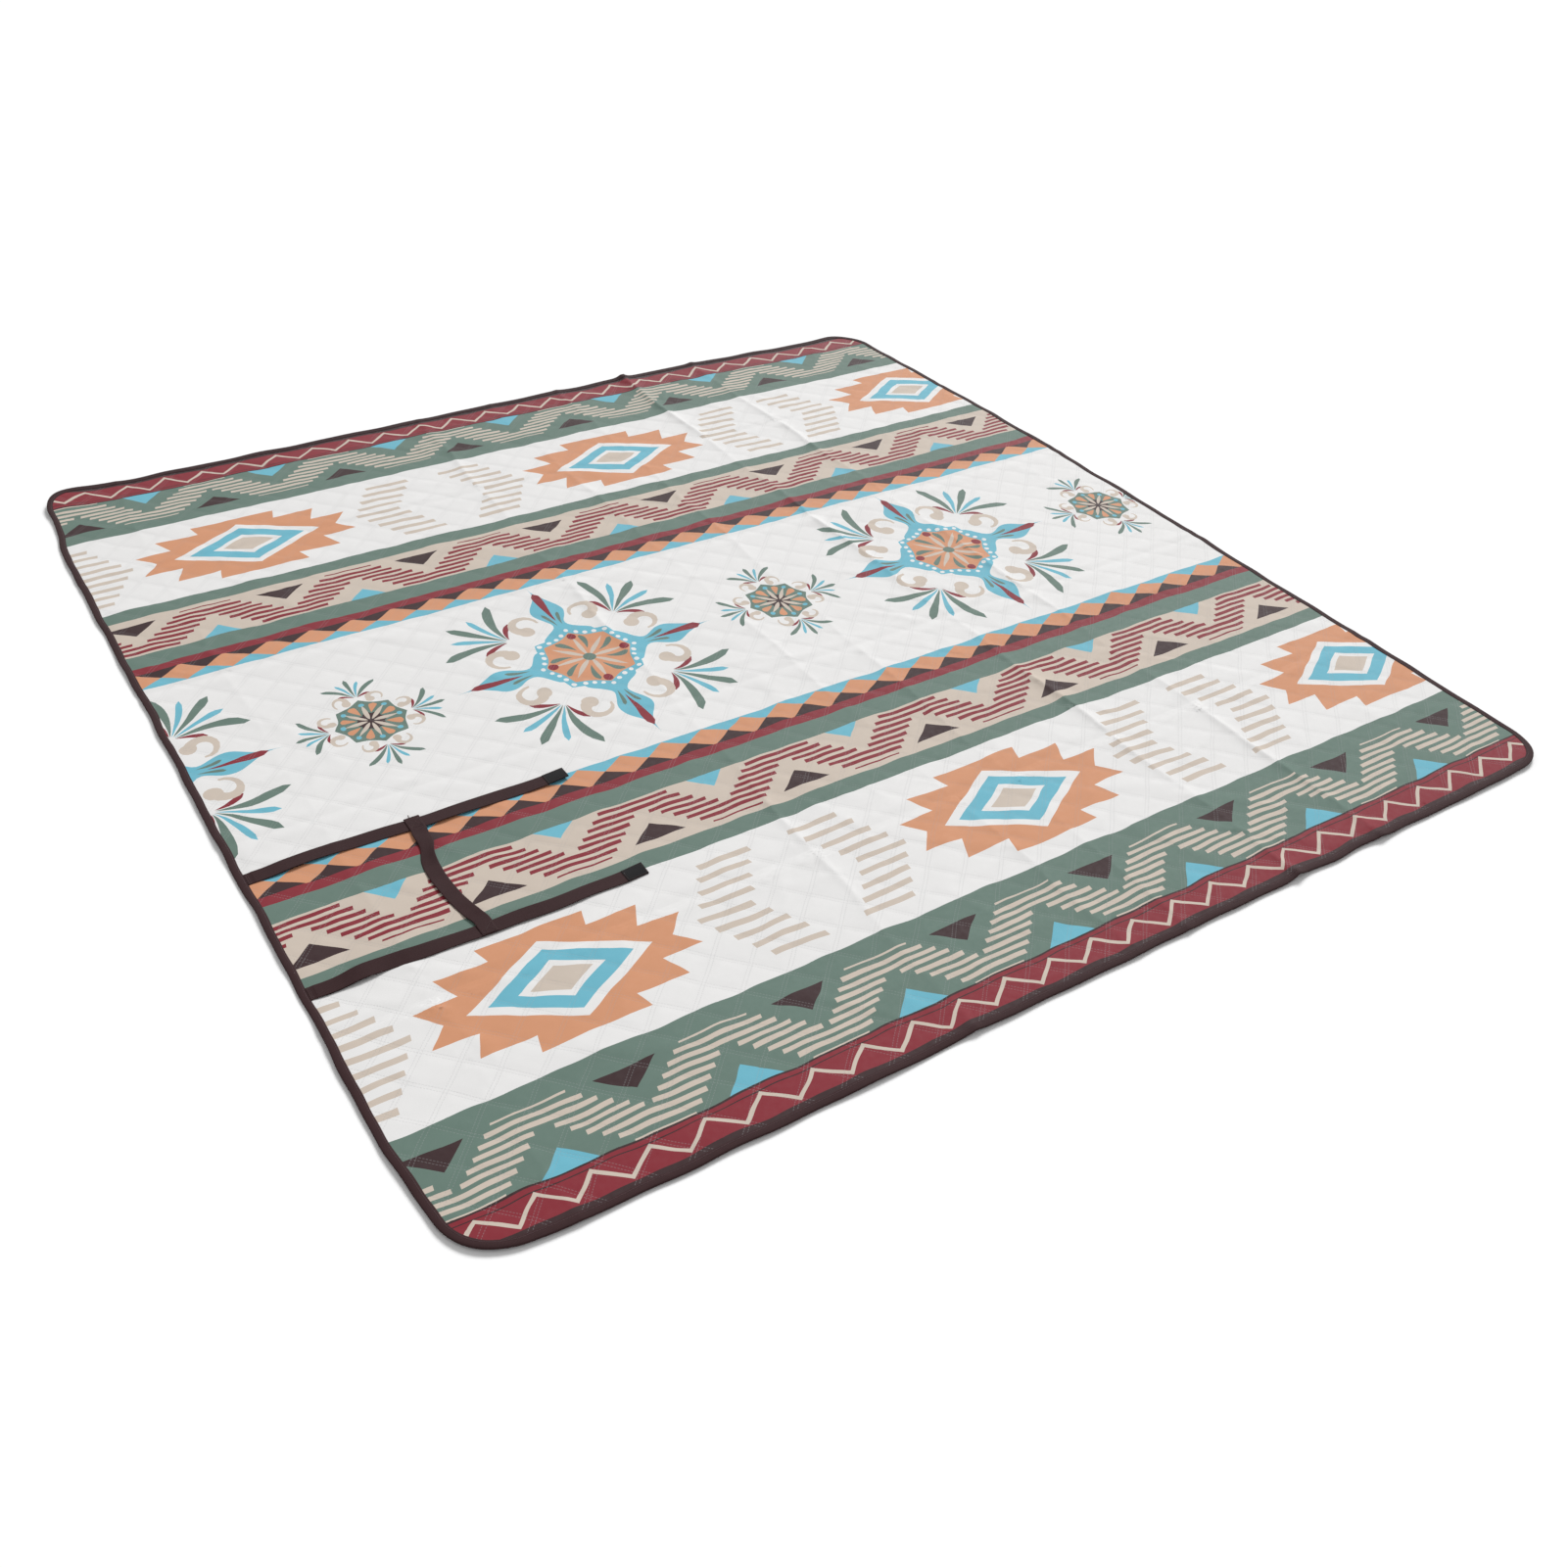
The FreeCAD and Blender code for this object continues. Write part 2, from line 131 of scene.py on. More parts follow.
# Where a ridge runs out at the near edge, -1, or the far one, 1, the cloth stands up: x, edge, height.
TENTS = (
    (0.324, 1, 6.5 * MM),
    (0.518, 1, 2.0 * MM),
    (0.374, -1, 4.0 * MM),
    (0.562, -1, 3.0 * MM),
    (-0.255, -1, 2.0 * MM),
)
TENT_LENGTH = 0.05
TENT_WIDTH = 14 * MM
FAR_EDGE_RISE = 3.0 * MM
FAR_EDGE_REACH = 0.016
SWELL = 0.8 * MM
EDGE_RIPPLE = 0.9 * MM
EDGE_RIPPLE_REACH = 0.02
MOST_RELIEF = 12 * MM
CREASE_SHOULDER = 0.8 * MM
CREASE_REACH = 17 * MM
# Each family of small wrinkles: the direction across it in radians, and the distance between two.
WRINKLES = ((0.3, 0.11), (1.2, 0.14), (2.2, 0.09), (2.8, 0.17), (0.8, 0.075), (1.8, 0.065), (2.5, 0.12))
WRINKLE_HEIGHT = 1.1 * MM
# Each corner that lifts: its side along X and along Y, its height and its reach.
CURLS = (
    (-1, 1, 9.5 * MM, 0.07),
    (1, 1, 2.5 * MM, 0.16),
    (1, -1, 3.0 * MM, 0.12),
    (-1, -1, 1.5 * MM, 0.12),
)
QUILT_PITCH = 53 * MM
QUILT_CHANNEL = 2.5 * MM
QUILT_SOFTNESS = 3.8 * MM
QUILT_DEPTH = 0.46 * MM
QUILT_CROWN = 0.2 * MM
QUILT_EDGE_DROP = 0.12 * MM


def ridge_line(far_x, near_x, y):
    return near_x + (far_x - near_x) * (y + HALF) / (2 * HALF)


def waves(x, y, seed, longest, shortest, count):
    """A gentle random swell, from -1 to 1."""
    numbers = np.random.default_rng(seed)
    total = np.zeros_like(x)
    for _ in range(count):
        angle, phase, share = numbers.uniform(0, 1, 3)
        length = shortest * (longest / shortest) ** share
        along = x * math.cos(angle * math.tau) + y * math.sin(angle * math.tau)
        total += np.sin(math.tau * (along / length + phase))
    return total / count ** 0.5 / 1.7


def edge_distance(x, y):
    """How far a point is inside the blanket's outer edge."""
    straight = HALF - np.maximum(np.abs(x), np.abs(y))
    start = HALF - CORNER_RADIUS
    corner_x, corner_y = np.abs(x) - start, np.abs(y) - start
    rounded = CORNER_RADIUS - np.hypot(corner_x, corner_y)
    return np.where((corner_x > 0) & (corner_y > 0), rounded, straight)


def crease_distance(y):
    return np.min([np.abs(y - place) for place in CREASE_Y.values()], axis=0)


def crease_calm(y):
    """1 away from the creases, and less at them, where the cloth was pressed flat."""
    return 0.35 + 0.65 * smooth(crease_distance(y), 0, 0.03)


def wrinkles(x, y):
    """Small sharp wrinkles of the top sheet, which come and go in several directions."""
    height = np.zeros_like(x)
    for number, (angle, length) in enumerate(WRINKLES):
        along = x * math.cos(angle) + y * math.sin(angle) + 0.02 * waves(x, y, 40 + number, 0.5, 0.2, 5)
        sharp = (1 - np.abs(np.sin(math.pi * along / length))) ** 3
        where = smooth(waves(x, y, 50 + number, 0.6, 0.2, 6), 0.1, 0.8)
        height += WRINKLE_HEIGHT * sharp * where
    inside = smooth(edge_distance(x, y), TAPE_WIDTH, TAPE_WIDTH + 20 * MM)
    return height * inside * crease_calm(y)


def strap_calm(x, y):
    """Near 1 round the straps' sewn ends, where the stitching holds the blanket flat."""
    reach_x, reach_y = 0.11, 0.055
    total = 0
    for node in ("strap_foot_far", "strap_foot_near"):
        low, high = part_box(node)
        across = (y - (low.y + high.y) / 2) / reach_y
        total = total + np.exp(-((x - low.x) / reach_x) ** 4 - across ** 4)
    return 0.85 * total


def relief(x, y):
    """How far the whole thickness of the blanket stands off the ground."""
    x, y = np.asarray(x, float), np.asarray(y, float)
    calm = crease_calm(y)
    height = SWELL * (1 + waves(x, y, 3, 0.6, 0.16, 9))
    for number, (far_x, near_x, tall) in enumerate(STORAGE_RIDGES):
        across = x - ridge_line(far_x, near_x, y) - RIDGE_SWAY * np.sin(y * RIDGE_SWAY_RATE + number)
        swell = 0.62 + 0.38 * np.sin(y * 9.5 + number * 2.3)
        crest = 0.6 / (1 + (across / RIDGE_WIDTH) ** 2) ** 1.2 + 0.4 / (1 + (across / RIDGE_FOOT) ** 2) ** 2
        height += tall * swell * calm * crest
    for place, side, tall in TENTS:
        to_edge = np.clip(HALF - side * y, 0, None)
        height += tall * np.exp(-to_edge / TENT_LENGTH) / (1 + ((x - place) / TENT_WIDTH) ** 2) ** 1.5
    share = (crease_distance(y) / CREASE_REACH) ** 2
    height += CREASE_SHOULDER * 2.7 * share * np.exp(-share)
    height += FAR_EDGE_RISE * np.exp(-np.clip(HALF - y, 0, None) / FAR_EDGE_REACH)
    inside = np.clip(edge_distance(x, y), 0, None)
    height += EDGE_RIPPLE * np.exp(-inside / EDGE_RIPPLE_REACH) * (1 + waves(x, y, 11, 0.22, 0.07, 7))
    for side_x, side_y, tall, reach in CURLS:
        away = np.hypot(x - side_x * HALF, y - side_y * HALF)
        height += tall * np.exp(-(away / reach) ** 2)
    return np.clip(height * (1 - strap_calm(x, y)), 0, MOST_RELIEF)


def quilting(x, y):
    """The top sheet's crowns and sewn channels: a diagonal lattice of double rows."""
    deepest = 0
    for along in ((x + y) / 2 ** 0.5, (x - y) / 2 ** 0.5):
        off_row = np.abs((along / QUILT_PITCH + 0.5) % 1 - 0.5) * QUILT_PITCH
        channel = np.exp(-np.clip(off_row - QUILT_CHANNEL, 0, None) / QUILT_SOFTNESS)
        deepest = np.maximum(deepest, channel)
    inside = smooth(edge_distance(x, y), TAPE_WIDTH, TAPE_WIDTH + 8 * MM)
    return inside * (QUILT_CROWN - QUILT_DEPTH * deepest) - QUILT_EDGE_DROP * (1 - inside)


def off_fold(y):
    """0 where the cloth bends round a crease, and 1 away from there."""
    share = 1
    for name, crease in CREASE_Y.items():
        past = (y - crease) * FOLD_TOWARD[name]
        outside = np.maximum(-past, past - fold_length(name))
        share = np.minimum(share, smooth(outside, 0, 0.03))
    return share


# How far the spread cloth's sides and corners lie off a true square.
RIGHT_BULGE = 0.009
FAR_CORNERS_DRAWN_IN = 0.024
NEAR_LEFT_DRAWN_IN = 0.018, 0.006
FAR_SIDE_DRAWN_IN = 0.006
FAR_RIGHT_DRAWN_IN = 0.017
FAR_LEFT_POINT = 0.013
FAR_LEFT_POINT_REACH = 0.06
EDGE_SWAY = 1.8 * MM
EDGE_SWAY_REACH = 0.05
CLOTH_SWAY = 1.2 * MM, 1.5 * MM


def spread(x, y):
    """Where a point of the cloth lies: spread by hand, its sides aren't quite straight."""
    x, y = np.asarray(x, float), np.asarray(y, float)
    right = smooth(x, 0.1, HALF)
    left = smooth(-x, 0.55, HALF)
    far = smooth(y, 0.7, HALF)
    bulge = RIGHT_BULGE * (1 - (y / 0.8) ** 2)
    near_left = smooth(-x, 0.70, HALF) * smooth(-y, 0.78, HALF)
    along_x = right * (bulge - FAR_CORNERS_DRAWN_IN * smooth(y, 0.25, HALF))
    along_x = along_x + left * FAR_CORNERS_DRAWN_IN * smooth(y, 0.72, HALF)
    along_x = along_x + NEAR_LEFT_DRAWN_IN[0] * near_left
    along_y = NEAR_LEFT_DRAWN_IN[1] * near_left
    along_y = along_y - far * (FAR_SIDE_DRAWN_IN + FAR_RIGHT_DRAWN_IN * smooth(x, 0.35, HALF))
    corner = HALF - 0.3 * CORNER_RADIUS
    from_corner = (x + corner) ** 2 + (y - corner) ** 2
    far_left = FAR_LEFT_POINT * np.exp(-from_corner / FAR_LEFT_POINT_REACH ** 2)
    along_x, along_y = along_x - far_left, along_y + far_left
    edge = np.exp(-np.clip(edge_distance(x, y), 0, None) / EDGE_SWAY_REACH)
    along_x = along_x + EDGE_SWAY * edge * waves(x, y, 21, 0.34, 0.1, 6)
    along_y = along_y + EDGE_SWAY * edge * waves(x, y, 22, 0.34, 0.1, 6) * off_fold(y)
    along_x = along_x + CLOTH_SWAY[0] * waves(x, y, 23, 0.16, 0.06, 6)
    along_y = along_y + CLOTH_SWAY[1] * waves(x, y, 24, 0.16, 0.06, 6) * off_fold(y)
    return x + along_x, y + along_y


# Outlines in the flat cloth -------------------------------------------------------------------

FINE = 6 * MM


def fine(points, closed=True, step=FINE):
    """The same outline with its straight runs divided, so that it can follow the relief."""
    ends = points[1:] + points[:1] if closed else points[1:]
    result = []
    for (x0, y0), (x1, y1) in zip(points, ends):
        count = max(1, math.ceil(math.hypot(x1 - x0, y1 - y0) / step - 1e-9))
        result += [(x0 + (x1 - x0) * i / count, y0 + (y1 - y0) * i / count) for i in range(count)]
    if not closed:
        result.append(points[-1])
    return result


def arc(centre_x, centre_y, radius, start, end, steps):
    angles = [math.radians(start + (end - start) * i / steps) for i in range(steps + 1)]
    return [(centre_x + radius * math.cos(a), centre_y + radius * math.sin(a)) for a in angles]


EDGE_STEP = 4 * MM
CORNER_STEPS = 14


def side_lines(panel, inset=0.0):
    """The left and right sides of a panel with their round corners. Both go counterclockwise."""
    low, high = PANEL_SPAN[panel]
    edge, centre, radius = HALF - inset, HALF - CORNER_RADIUS, CORNER_RADIUS - inset
    if panel == "near":
        left = [(-edge, high)] + arc(-centre, -centre, radius, 180, 270, CORNER_STEPS)
        right = arc(centre, -centre, radius, 270, 360, CORNER_STEPS) + [(edge, high)]
    elif panel == "far":
        left = arc(-centre, centre, radius, 90, 180, CORNER_STEPS) + [(-edge, low)]
        right = [(edge, low)] + arc(centre, centre, radius, 0, 90, CORNER_STEPS)
    else:
        left = [(-edge, high), (-edge, low)]
        right = [(edge, low), (edge, high)]
    return left, right


def outer_run(panel, inset):
    """The blanket's own edge along one panel: its two sides, or one line right round an end panel."""
    left, right = side_lines(panel, inset)
    if panel == "near":
        lines = [left + right]
    elif panel == "far":
        lines = [right + left]
    else:
        lines = [right, left]
    return [fine(line, closed=False, step=EDGE_STEP) for line in lines]


def crease_line(y, inset):
    """A crease from left to right. Both panels at a crease get the same points."""
    return fine([(-HALF + inset, y), (HALF - inset, y)], closed=False)


def panel_outline(panel, inset):
    low, high = PANEL_SPAN[panel]
    runs = outer_run(panel, inset)
    if panel == "near":
        return runs[0][:-1] + crease_line(high, inset)[:0:-1]
    if panel == "far":
        return runs[0][:-1] + crease_line(low, inset)[:-1]
    right, left = runs
    return crease_line(low, inset)[:-1] + right[:-1] + crease_line(high, inset)[:0:-1] + left[:-1]


def fold_length(name, middle_height=CLOTH_TOP / 2):
    """How much cloth a crease takes up when it is folded, so that the cloth isn't stretched."""
    return math.pi * (JOINTS[f"crease_{name}"]["pos_m"][2] - middle_height)


FOLD_ROWS = 20
OFF_CREST_MM = (-11, -6, -2.5, 0, 2.5, 6, 11)


def across_ridge(number, y):
    """Points on both sides of a ridge's crest."""
    far_x, near_x, _ = STORAGE_RIDGES[number]
    middle = ridge_line(far_x, near_x, y) + RIDGE_SWAY * math.sin(y * RIDGE_SWAY_RATE + number)
    return [(middle + off * MM, y) for off in OFF_CREST_MM]


def fold_rows(panel):
    """Points past a panel's own crease, where its cloth bends."""
    if panel == "carry":
        return []
    points = []
    for row in range(1, FOLD_ROWS + 2):
        y = CREASE_Y[panel] + FOLD_TOWARD[panel] * fold_length(panel) * row / FOLD_ROWS
        points += [(x, y) for x in np.arange(-HALF + 16 * MM, HALF - 14 * MM, 10 * MM)]
        for number in range(len(STORAGE_RIDGES)):
            points += across_ridge(number, y)
    return points


def inside_panel(points, panel, margin):
    low, high = PANEL_SPAN[panel]
    x, y = np.array(points).T
    bottom = low + (0 if panel == "near" else margin)
    top = high - (0 if panel == "far" else margin)
    return [p for p, keep in zip(points, (y > bottom) & (y < top) & (edge_distance(x, y) > margin)) if keep]


def quilt_points(panel):
    """Points along both sewn rows of each channel, and on the crowns between them."""
    low, high = PANEL_SPAN[panel]
    reach = 2 ** 0.5 * HALF
    steps = np.arange(-math.ceil(reach / QUILT_PITCH), math.ceil(reach / QUILT_PITCH) + 1) * QUILT_PITCH
    inner = [-QUILT_CHANNEL, QUILT_CHANNEL, 8.5 * MM, 16.5 * MM]
    offsets = inner + [QUILT_PITCH / 2] + [QUILT_PITCH - place for place in inner[:1:-1]]
    places = (steps[:, None] + np.array(offsets)).ravel()
    q, r = np.meshgrid(places, places)
    x, y = (q + r).ravel() / 2 ** 0.5, (q - r).ravel() / 2 ** 0.5
    near = (y > low) & (y < high) & (np.abs(x) < HALF)
    return list(zip(x[near], y[near]))


def ridge_points(panel):
    low, high = PANEL_SPAN[panel]
    points = []
    for number in range(len(STORAGE_RIDGES)):
        for y in np.arange(low + 4 * MM, high, 8 * MM):
            points += across_ridge(number, y)
    return points


def edge_rings(panel, distances):
    return [point for inset in distances for run in outer_run(panel, inset) for point in run]


def hidden_points(panel, step=16 * MM):
    """Points for the layers under the top sheet: an even grid, and the ridges and folds."""
    low, high = PANEL_SPAN[panel]
    x, y = np.meshgrid(np.arange(-HALF + step / 2, HALF, step), np.arange(low + step / 2, high, step))
    loose = list(zip(x.ravel(), y.ravel())) + ridge_points(panel) + fold_rows(panel)
    return inside_panel(loose, panel, 6 * MM)


# Points closer together than this become one point.
PRINT_NEARNESS = 0.35 * MM
OUTLINE_NEARNESS = 0.001 * MM


def triangles(outline, loose, shapes=()):
    """Triangles of the cloth inside outline, with every shape's outline in their edges.

    Returns the points, the triangles, and for each triangle the number of the last shape over it,
    or -1 where there is none.
    """
    points, faces = [], []
    for polygon in [outline, *shapes]:
        area = sum(x0 * y1 - x1 * y0 for (x0, y0), (x1, y1) in zip(polygon, polygon[1:] + polygon[:1]))
        ordered = polygon if area > 0 else polygon[::-1]
        faces.append(list(range(len(points), len(points) + len(ordered))))
        points += ordered
    points += loose
    nearest = PRINT_NEARNESS if shapes else OUTLINE_NEARNESS
    result = delaunay_2d_cdt([Vector(p) for p in points], [], faces, 1, nearest, True)
    found, cells, sources = result[0], result[2], result[5]
    kept, owners = [], []
    for cell, source in zip(cells, sources):
        if 0 in source:
            kept.append(tuple(cell))
            owners.append(max(source) - 1)
    used, renumbered = np.unique(np.array(kept), return_inverse=True)
    places_found = np.array([tuple(found[number]) for number in used])
    return places_found, [tuple(cell) for cell in renumbered.reshape(-1, 3).tolist()], owners


# The print ------------------------------------------------------------------------------------

INKS = {
    "white": "#dfdedd",
    "brown": "#341d1f",
    "red": "#80202c",
    "green": "#60766c",
    "beige": "#c4b7aa",
    "orange": "#ca8e6a",
    "turquoise": "#66aec1",
}
INK_NAMES = list(INKS)
print_shapes = []
PRINT_WOBBLE = 1.7 * MM

REPEAT = 0.266
BROWN_START = -0.955
TURQUOISE_START = -0.822
SAWTOOTH_START = -0.459
EDGE_ZIGZAG_START = -0.961
SUNBURST_START = -0.685
SUNBURST_REPEAT = 3 * REPEAT - 2 * MM
SUNBURST_Y = 0.648
ROSETTE_START = -0.292
ROSETTE_REPEAT = 0.797
ROSETTE_Y = 10 * MM
SMALL_ROSETTE_OFFSET = -0.400

# How far each stripe's two sides are from the blanket's middle line, from the middle outward.
SAWTOOTH = 262 * MM, 308 * MM
THIN_RED = 308 * MM, 327 * MM
THIN_GREEN = 327 * MM, 366 * MM
INNER_ZIGZAG = 366 * MM, 482 * MM
MIDDLE_GREEN = 482 * MM, 514 * MM
OUTER_ZIGZAG = 787 * MM, 931 * MM
EDGE_RED = 931 * MM, 982 * MM
WIDE_LINE = 930 * MM, 933 * MM
FINE_LINE = 939.4 * MM, 941.0 * MM
EDGE_ZIGZAG = 944 * MM, 975 * MM
EDGE_BROWN_INNER = 981 * MM
BEYOND = HALF + 0.02


def paint_curve(colour, points):
    """A shape whose points are close enough already. The print wanders a little, like brush work."""
    x, y = np.array(points).T
    along_x = x + 0.6 * PRINT_WOBBLE * waves(x, y, 61, 0.12, 0.035, 7)
    along_y = y + PRINT_WOBBLE * waves(x, y, 62, 0.12, 0.03, 7)
    print_shapes.append((colour, list(zip(along_x.tolist(), along_y.tolist()))))


def paint(colour, points):
    paint_curve(colour, fine(points))


def band(side, inner, outer, colour):
    start, end = side * inner, side * outer
    paint(colour, [(-BEYOND, start), (BEYOND, start), (BEYOND, end), (-BEYOND, end)])


def places(start, step, margin=0.0):
    """Every place of a motif that repeats along X, from edge to edge."""
    first = math.floor((-HALF - margin - start) / step)
    last = math.ceil((HALF + margin - start) / step)
    return [start + step * number for number in range(first, last + 1)]


def row_of_triangles(side, colour, start, base, apex, width):
    for x in places(start, REPEAT, width):
        paint(colour, [(x - width / 2, side * base), (x + width / 2, side * base), (x, side * apex)])


def hatched_zigzag(side, colour, start, first, count, offset, length, thick, thin_rows):
    """Short level bars that step sideways row by row. Bars that meet their mirror image join."""
    pitch, step, slant, thinned = 13.4 * MM, 15 * MM, 1.5 * MM, 0.45
    for centre in places(start, REPEAT, REPEAT):
        for row in range(count):
            begin = offset + step * row
            end = begin + length
            half_thick = thick / 2 * (thinned if row in thin_rows else 1)
            level = side * (first + pitch * row)
            spans = []
            if begin < 0:
                spans.append((-end, end))
            elif end > REPEAT / 2:
                spans.append((begin, REPEAT - begin))
            else:
                spans += [(begin, end), (-end, -begin)]
            for low, high in spans:
                paint(colour, [
                    (centre + low, level - half_thick),
                    (centre + high - slant, level - half_thick),
                    (centre + high, level + half_thick),
                    (centre + low + slant, level + half_thick),
                ])


def sawtooth_row(side):
    pitch, middle = 76 * MM, 285 * MM
    inner, outer = SAWTOOTH
    band(side, inner, middle, "turquoise")
    band(side, middle, outer, "brown")
    for x in places(SAWTOOTH_START, pitch, pitch):
        paint("orange", [
            (x - pitch / 2, side * middle),
            (x, side * (inner + 1 * MM)),
            (x + pitch / 2, side * middle),
            (x, side * (outer + 2 * MM)),
        ])


def edge_zigzag(side):
    """The beige line that runs along the red band at the near and the far edge."""
    pitch, thick = 80 * MM, 5.5 * MM
    inner, outer = EDGE_ZIGZAG
    turns = []
    for number, x in enumerate(places(EDGE_ZIGZAG_START, pitch / 2, pitch)):
        turns.append((x, outer if number % 2 == 0 else inner))
    slope = math.hypot(pitch / 2, outer - inner) / (pitch / 2)
    upper = [(x, side * (y + thick * slope / 2)) for x, y in turns]
    lower = [(x, side * (y - thick * slope / 2)) for x, y in turns]
    paint("beige", upper + lower[::-1])


def sunburst(centre_x, centre_y):
    """A toothed orange field with diamonds set one in another."""
    quarter = [(82, 102), (74, 74), (154, 76), (136, 36), (202, 34), (172, 0)]
    quarter = [(x * MM, y * MM) for x, y in quarter]
    right = quarter + [(x, -y) for x, y in quarter[-2::-1]]
    outline = right + [(-x, -y) for x, y in right]
    paint("orange", [(centre_x + x, centre_y + y) for x, y in outline])
    for colour, half_x, half_y in (
        ("white", 140 * MM, 77 * MM),
        ("turquoise", 111 * MM, 61 * MM),
        ("white", 66 * MM, 37 * MM),
        ("beige", 48 * MM, 26 * MM),
    ):
        corners = [(half_x, 0), (0, half_y), (-half_x, 0), (0, -half_y)]
        paint(colour, [(centre_x + x, centre_y + y) for x, y in corners])


def bar_brackets(centre_x, centre_y):
    """Two stacks of beige bars that bow away from each other."""
    pitch, length, thick, step = 25 * MM, 92 * MM, 11.5 * MM, 14.5 * MM
    nearest, half_rows = 33 * MM, 4
    for row in range(-half_rows, half_rows + 1):
        begin = nearest + step * (half_rows - abs(row))
        level = centre_y + pitch * row
        for side in (-1, 1):
            low, high = centre_x + side * begin, centre_x + side * (begin + length)
            lean = 2 * MM * side
            paint("beige", [
                (low, level - thick / 2),
                (high - lean, level - thick / 2 + 1 * MM),
                (high, level + thick / 2),
                (low + lean, level + thick / 2 - 1 * MM),
            ])


def turned(points, angle, x, y):
    c, s = math.cos(angle), math.sin(angle)
    return [(x + px * c - py * s, y + px * s + py * c) for px, py in points]


def stamp(colour, shape, angle, x, y):
    """Paint a shape that is drawn round the origin, turned and moved to its place."""
    paint_curve(colour, turned(shape, angle, x, y))


def round_angles(count):
    return [math.tau * number / count for number in range(count)]


def ring_radius(radius, angle, tips, depth):
    """A ring's radius at an angle. Between its pointed tips its sides are hollow by depth."""
    return radius * (1 - depth * abs(math.sin(tips * angle / 2)))


def ring_of_points(radius, count, tips=0, depth=0.0):
    """A closed round outline, drawn out to a number of tips if asked for."""
    result = []
    for angle in round_angles(count):
        r = ring_radius(radius, angle, tips, depth)
        result.append((r * math.cos(angle), r * math.sin(angle)))
    return result


def petal(length, width, bend=0.0, start=0.0, pointed=False, steps=9):
    """A petal along +X from start: narrow at its root, and round or pointed at its tip."""
    upper, lower = [], []
    for number in range(1, steps):
        t = number / steps
        shape = math.sin(math.pi * t ** 0.8) if pointed else t ** 0.9 * math.sqrt(1 - t ** 6) * 1.15
        half = width / 2 * shape
        along, off = start + length * t, bend * t * t
        upper.append((along, off + half))
        lower.append((along, off - half))
    return [(start, 0.0)] + lower + [(start + length, bend)] + upper[::-1]


def crescent(radius, thick, start, end, steps=12):
    """An open ring that thins out toward its end."""
    outer = arc(0, 0, radius, start, end, steps)
    inner = []
    for number, (x, y) in enumerate(arc(0, 0, radius, start, end, steps)):
        share = 1 - thick / radius * (1 - 0.8 * number / steps)
        inner.append((x * share, y * share))
    return outer + inner[::-1]


def spray(x, y, angle, size):
    """A fan of petals that opens outward from x, y, with a curl on either side of its root."""
    for degrees, length, width, colour, bend in (
        (0, 0.98, 0.17, "green", 0.0),
        (15, 0.84, 0.13, "turquoise", 0.10),
        (31, 0.98, 0.21, "green", 0.33),
        (46, 0.42, 0.13, "red", 0.16),
    ):
        for mirror in (1, -1) if degrees else (1,):
            shape = petal(length * size, width * size, mirror * bend * size, 0.06 * size)
            stamp(colour, shape, angle + mirror * math.radians(degrees), x, y)
    for mirror in (1, -1):
        offset = turned([(-0.04 * size, mirror * 0.48 * size)], angle, x, y)[0]
        curl = crescent(0.25 * size, 0.20 * size, -150, 120)
        ball = [(px - 0.14 * size, py - 0.10 * size) for px, py in ring_of_points(0.125 * size, 14)]
        for shape in (curl, ball):
            shape = [(px, mirror * py) for px, py in shape]
            stamp("beige", shape, angle + mirror * math.radians(20), *offset)


def long_leaf(neck, tip, half_base, half_leaf, steps=26):
    """A leaf along +X that flares out where it grows from a hub, and narrows to a point."""
    upper = []
    for number in range(steps):
        along = neck + (tip - neck) * number / steps
        share = (along - neck) / (tip - neck)
        base = half_base * math.exp(-(share / 0.15) ** 2)
        leaf = half_leaf * math.exp(-((share - 0.48) / 0.22) ** 2)
        upper.append((along, (base + leaf) * min(1, (1 - share) / 0.25)))
    return [(px, -py) for px, py in upper] + [(tip, 0.0)] + upper[::-1]


def large_rosette(x, y):
    """A plain round flower: four long leaves, four sprays and a beaded hub."""
    hub, tips, hollow, beads = 91 * MM, 8, 0.13, 32
    for angle in round_angles(4):
        diagonal = angle + math.pi / 4
        spray(*turned([(144 * MM, 0)], diagonal, x, y)[0], diagonal, 116 * MM)
    for angle in round_angles(4):
        stamp("turquoise", long_leaf(74 * MM, 256 * MM, 50 * MM, 30 * MM), angle, x, y)
        stamp("red", petal(98 * MM, 20 * MM, start=128 * MM), angle, x, y)
        for mirror in (1, -1):
            vein = petal(44 * MM, 9 * MM, bend=mirror * 7 * MM, start=112 * MM)
            stamp("green", vein, angle + mirror * math.radians(3), x, y)
    stamp("turquoise", ring_of_points(hub * 1.08, 96, tips, hollow), 0, x, y)
    for angle in round_angles(beads):
        centre = turned([(ring_radius(hub * 0.985, angle, tips, hollow), 0)], angle, x, y)[0]
        stamp("white", ring_of_points(4.6 * MM, 8), 0, *centre)
    stamp("orange", ring_of_points(hub * 0.90, 80, tips, hollow), 0, x, y)
    for angle in round_angles(8):
        stamp("beige", petal(64 * MM, 9 * MM, start=6 * MM, pointed=True), angle, x, y)
        comma = petal(42 * MM, 15 * MM, bend=12 * MM, start=28 * MM)
        stamp("green", comma, angle + math.pi / 8, x, y)
    for angle in round_angles(4):
        centre = turned([(hub * 0.77, 0)], angle, x, y)[0]
        stamp("red", ring_of_points(9 * MM, 14), 0, *centre)
    stamp("green", ring_of_points(12 * MM, 16), 0, x, y)


